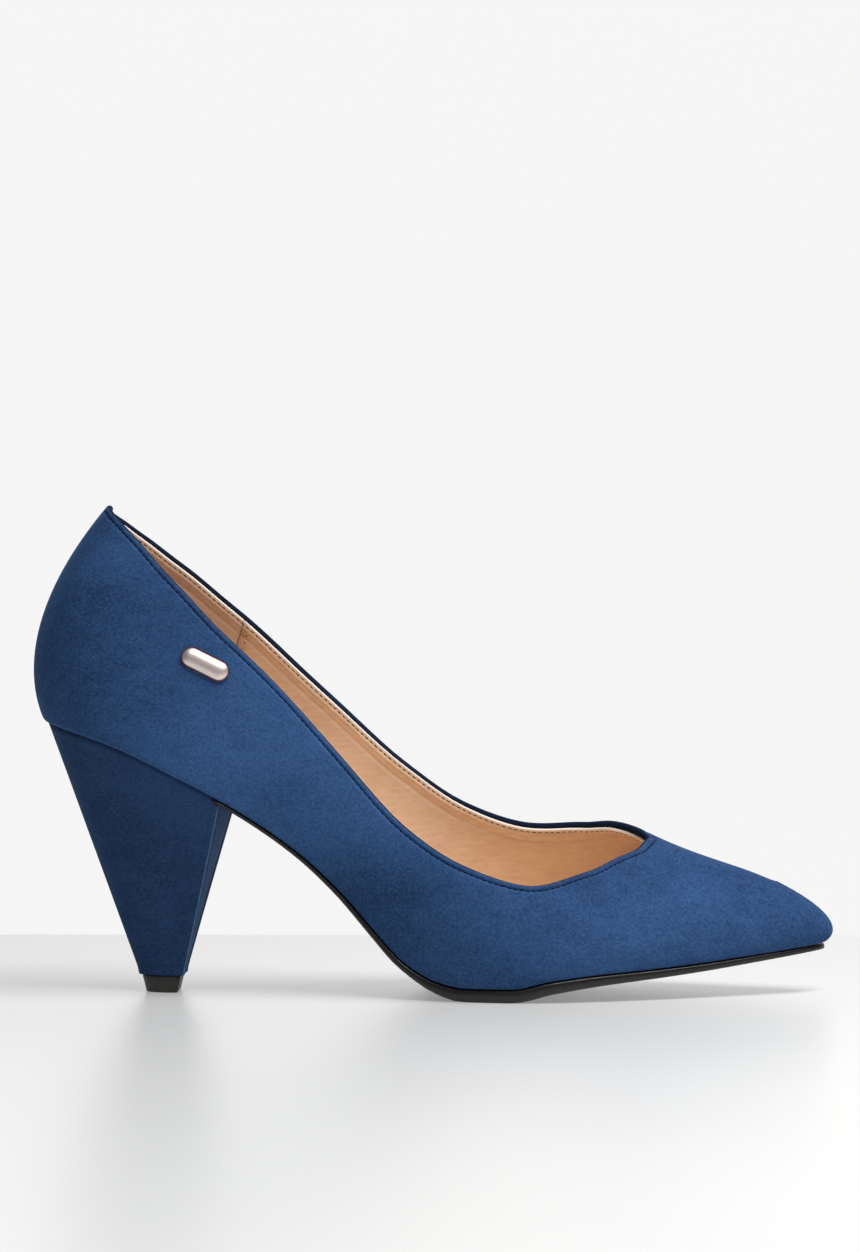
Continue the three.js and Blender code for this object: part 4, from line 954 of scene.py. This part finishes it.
# ---------- Heel ----------
BREAST_TOP_X = 57.0
BREAST_FOOT_X = 45.3
HEEL_FOOT_BACK_X = 31.8
HEEL_FOOT_WIDTH = 16.0
HEEL_FOOT_Z = 5.3
HEEL_FLARE = 1.35
HEEL_SEAT_INSET = 1.2
FOOT_ROUNDNESS = 0.8
FOOT_MIDDLE_X = BREAST_FOOT_X - 6
COVER_THICKNESS = 0.8
BREAST_DEPTH = 0.12  # below the cover's turned edges
SEAT_GAP = 0.08
WRAP = 4.5  # the cover's turned edge on the breast
CORNER_RADIUS = 1.0
FLAP_COLUMNS = (WRAP, 3.0, 1.6, CORNER_RADIUS)  # from the breast's corner
SOLE_TUCK = 1.2
TUCK_STEP = 0.6  # length over which the seat steps down under the sole
BREAST_SKEW = 2.2  # the inner corner of the breast stands further forward than the outer
LIP = 0.3  # the cover swells where it turns under above the top piece
LIP_SHARE = 0.018  # of the heel's height
ROUND_BACK = (3.2, 4.0)  # length round half of the heel: for each millimetre of half width, and the rest
PAINTED_HIGHLIGHT_COLUMNS = (3, 5, 75, 77)  # columns of the skin between which its two corners get a painted highlight
HEEL_HEIGHTS = np.concatenate([spread(0, 8, 0.03, 8, 0.15), spread(0.15, 30, 1)[1:]])


def heel_foot(share, inset):
    """The D-shaped foot of the heel, from one breast corner (-1) round the back (0) to the other (1):
    x goes back with a power of the cosine and y out with the sine."""
    angle = share * math.pi / 2
    depth = BREAST_FOOT_X - HEEL_FOOT_BACK_X - 2 * inset
    x = BREAST_FOOT_X - inset - depth * np.abs(np.cos(angle)) ** FOOT_ROUNDNESS
    y = -(HEEL_FOOT_WIDTH / 2 - inset) * np.sin(angle)
    return np.stack([x, y, np.full_like(x, HEEL_FOOT_Z)], -1)


def heel_seat(share, inset):
    """The top of the heel, set in from the edge of the upper, and lower where the sole runs under it."""
    reach = BREAST_TOP_X + np.where(share < 0, BREAST_SKEW, 0) - inset
    station = share * station_at(reach)
    edge = edge_point(station)
    out = outward(station, np.zeros_like(station)) * [1, 1, 0]
    p = edge - unit(out) * (inset + HEEL_SEAT_INSET)
    x = np.minimum(p[..., 0], reach)
    tucked = smoothstep((x - (BREAST_TOP_X - SOLE_TUCK - GAP)) / TUCK_STEP + 0.5)
    z = bottom_z(x) - SEAT_GAP - tucked * (GAP + outsole_thickness(x))
    return np.stack([x, p[..., 1], z], -1)


def heel_point(share, t, inset):
    """The heel at a share round it and a height t from its foot (0) to its seat (1): straight between
    them along the shoe, and across it with a power of t that hollows the sides."""
    share, t = np.broadcast_arrays(np.asarray(share, float), np.asarray(t, float))
    foot, seat = heel_foot(share, inset), heel_seat(share, inset)
    lip = LIP * np.exp(-((t / LIP_SHARE) ** 2)) * (inset < COVER_THICKNESS)
    spread_out = unit((foot - [FOOT_MIDDLE_X, 0, HEEL_FOOT_Z]) * [1, 1, 0])
    weights = np.stack([t, t**HEEL_FLARE, t], -1)
    return foot + (seat - foot) * weights + spread_out * lip[..., None]


def breast_corners(t, inset):
    """The two corners of the breast at heights t, inner then outer, and the direction between them."""
    inner, outer = (heel_point(np.array([side]), t, inset) for side in (-1.0, 1.0))
    return inner, outer, unit(outer - inner)


def heel_columns(inset, t):
    """Columns of the heel's skin, from inside one breast corner, round it in a quadratic Bezier, round
    the back and round the other corner."""
    t = t[:, None]
    inner_corner, outer_corner, across = breast_corners(t, inset)
    cut = CORNER_RADIUS / (ROUND_BACK[0] * -outer_corner[..., 1] + ROUND_BACK[1])
    shares = np.sin(np.linspace(-1, 1, 65)[None, :] * math.pi / 2) * (1 - cut)
    round_back = heel_point(shares, t, inset)

    def flap(side, reaches):
        p = outer_corner if side > 0 else inner_corner
        return p - side * across * np.asarray(reaches)[None, :, None]

    def bend(side):
        start = flap(side, [CORNER_RADIUS])
        tip = flap(side, [0.0])
        end = round_back[:, -1:] if side > 0 else round_back[:, :1]
        k = spread(0, 5, 1)[1:-1][None, :, None]
        return (1 - k) ** 2 * start + 2 * k * (1 - k) * tip + k * k * end

    inner, outer = flap(-1, FLAP_COLUMNS), flap(1, FLAP_COLUMNS)
    return np.concatenate([inner, bend(-1), round_back, bend(1)[:, ::-1], outer[:, ::-1]], 1)


def heel_cover():
    """The suede round the heel, turned in on the breast at both sides, with a painted highlight on the two
    corners.
    """
    outside, inside = heel_columns(0.0, HEEL_HEIGHTS), heel_columns(COVER_THICKNESS, HEEL_HEIGHTS)
    made = Solid().grid(inside).bands(outside, PAINTED_HIGHLIGHT_COLUMNS, axis=1).rims(outside, inside)
    # Most of the cover takes the darker copy of the suede, painted shade.
    made.piece("heel_cover_suede", [PAINTED_SHADE_HEEL_SUEDE, PAINTED_HIGHLIGHT_SUEDE], "suede", ["heel_cover"])


def heel_breast():
    """The strip between the two turned edges of the cover, in a lighter copy of the suede that paints the
    light falling on it.
    """
    t = HEEL_HEIGHTS[:, None]

    def face(inset):
        inner, outer, across = breast_corners(t, inset)
        left, right = inner + across * (WRAP + GAP), outer - across * (WRAP + GAP)
        return left + (right - left) * np.linspace(0, 1, 9)[None, :, None]

    outside, inside = face(BREAST_DEPTH), face(COVER_THICKNESS)
    made = Solid().grid(outside).grid(inside).rims(outside, inside)
    made.piece("heel_breast_suede", [PAINTED_LIGHT_BREAST_SUEDE], "suede", ["heel_breast_cover"])


def top_piece():
    """The heel's tip: a D with bevelled edges, tapered to the floor, its front facet flat. Levels are
    pairs of an inset from the heel's foot and a height."""
    shares = np.sin(np.linspace(-1, 1, 49) * math.pi / 2)

    def ring(inset, z):
        p = heel_foot(shares, inset)
        p[:, 2] = z
        k = np.linspace(0, 1, 14)[1:-1, None]
        return np.concatenate([p, p[-1] + (p[0] - p[-1]) * k])

    levels = [(2.3, 0), (1.95, 0.12), (1.8, 0.45), (1.2, 3), (0.75, 4.6), (0.85, 4.9), (1.1, 5)]
    rings = np.stack([ring(inset, z) for inset, z in levels])
    made = Solid().grid(rings, closed=True).cap(rings[0]).cap(rings[-1])
    made.piece("top_piece_tip", [TIP], "top_piece", ["top_piece"], sharp=40)


# ---------- Badge ----------
BADGE_LENGTH = 15.0
BADGE_WIDTH = 6.0
BADGE_TURN = math.radians(-27)
BADGE_STATION = 4.66
BADGE_SHARE = 0.455


def badge():
    """A domed bar with round ends, standing just proud of the wall on a thin dark rim. Dome and rim
    are pairs of a share of the end's radius and a height over the wall."""
    centre = master(np.array(BADGE_STATION), np.array(BADGE_SHARE))
    out = outward(np.array(BADGE_STATION), np.array(BADGE_SHARE))
    across_wall = unit(np.cross([0, 0, 1.0], out))
    turned = across_wall * math.cos(BADGE_TURN) + np.cross(out, across_wall) * math.sin(BADGE_TURN)
    up = np.cross(out, turned)
    radius, reach = BADGE_WIDTH / 2, (BADGE_LENGTH - BADGE_WIDTH) / 2
    angle = np.concatenate([spread(-math.pi / 2, 20, math.pi / 2), spread(math.pi / 2, 20, 1.5 * math.pi)])
    middle = np.where(np.arange(len(angle)) < len(angle) // 2, reach, -reach)
    dome = [(0, 1.95), (0.25, 1.91), (0.5, 1.77), (0.7, 1.54), (0.84, 1.28), (0.91, 1.05), (0.93, 0.85)]
    rim_wall = [(1.0, 0.82), (1.03, 0.7), (1.03, 0.5), (0.94, 0.4), (0, 0.4)]

    def rings(pairs):
        rows = []
        for share, height in pairs:
            a, b = middle + np.cos(angle) * radius * share, np.sin(angle) * radius * share
            rows.append(centre + turned * a[:, None] + up * b[:, None] + out * height)
        return np.stack(rows)

    made = Solid().grid(rings(dome), closed=True).grid(rings([dome[-1], *rim_wall]), 1, closed=True)
    made.piece("badge_capsule", [ROSE, ROSE_RIM], "badge_metal", ["badge"], sharp=35)


# ---------- Pieces kept from the frame ----------
def finish_frame_nodes():
    """Better finishes on the solids inside the shoe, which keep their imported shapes."""
    kept = {
        "heel_counter": FELT, "toe_puff": FELT, "interlining_outer": TAPE, "interlining_inner": TAPE,
        "bottom_filler": CORK, "insole_board": BOARD, "shank_board": BOARD, "heel_block": CORE,
    }
    for name, node in nodes.items():
        if node.hide_render:
            continue
        node.data.materials.clear()
        node.data.materials.append(kept.get(name, STEEL))


# ---------- Studio ----------
CAMERA_DISTANCE = 1.1
CAMERA_TURN = math.radians(0.9)
CAMERA_SHIFT = -0.0009
CAMERA_HEIGHT = 0.1095
CAMERA_LENS = 105.5
SENSOR_WIDTH = 36
FARTHEST_SEEN = 20
LIGHTS_AIM = (0, 0, 0.06)
AMBIENT = 0.13
TABLE_WIDTH = 1.6
TABLE_FRONT = -1.8
TABLE_EDGE = 0.2  # behind the shoe
WALL_AT = 3.0
WALL_WIDTH = 5


def studio():
    """Pale table top with a pale wall far behind its back edge, soft lights and the camera."""
    pale_table = studio_finish("floor_pale", (176, 176, 175), 0.23, 0.3)
    pale_wall = studio_finish("backdrop_pale", (120, 120, 119), 0.89, 0.9)
    for name, width, rows, finish in (
        ("floor", TABLE_WIDTH, [(TABLE_FRONT, 0), (TABLE_EDGE, 0)], pale_table),
        ("backdrop", WALL_WIDTH, [(WALL_AT, -2), (WALL_AT, 4)], pale_wall),
    ):
        corners = [(x * width, y, z) for (y, z), ends in zip(rows, ((-1, 1), (1, -1))) for x in ends]
        mesh = bpy.data.meshes.new(name)
        mesh.from_pydata(corners, [], [(0, 1, 2, 3)])
        mesh.materials.append(finish)
        added(name, mesh)

    camera = bpy.data.cameras.new("camera")
    camera.lens = CAMERA_LENS
    camera.sensor_width = SENSOR_WIDTH
    camera.clip_end = FARTHEST_SEEN
    made = added("camera", camera)
    made.location = (
        CAMERA_DISTANCE * math.sin(CAMERA_TURN) + CAMERA_SHIFT, -CAMERA_DISTANCE * math.cos(CAMERA_TURN),
        CAMERA_HEIGHT,
    )
    made.rotation_euler = (math.pi / 2, 0, CAMERA_TURN)
    bpy.context.scene.camera = made

    for name, place, size, power in (
        ("light_above", (0.55, -0.4, 1.25), (1.1, 0.8), 40.0),
        ("light_toe_side", (1.3, -0.45, 0.4), (0.6, 0.6), 7.0),
        ("light_front", (0.7, -2.2, 0.9), (1.4, 1.0), 40.0),
    ):
        lamp = bpy.data.lights.new(name, "AREA")
        lamp.shape = "RECTANGLE"
        lamp.size, lamp.size_y = size
        lamp.energy = power
        lit = added(name, lamp)
        lit.location = place
        aim = np.array(LIGHTS_AIM) - np.array(place)
        lit.rotation_euler = (math.acos(-aim[2] / np.linalg.norm(aim)), 0, math.atan2(aim[0], -aim[1]))

    world = bpy.data.worlds.new("studio")
    world.use_nodes = True
    background = world.node_tree.nodes["Background"].inputs
    background["Color"].default_value = (1, 1, 1, 1)
    background["Strength"].default_value = AMBIENT
    bpy.context.scene.world = world
    bpy.context.scene.view_settings.view_transform = "Standard"


studio()
upper()
topline_tape()
linings()
topline_threads()
seam_threads()
sock_lining()
cushions()
outsole()
heel_cover()
heel_breast()
top_piece()
badge()
finish_frame_nodes()
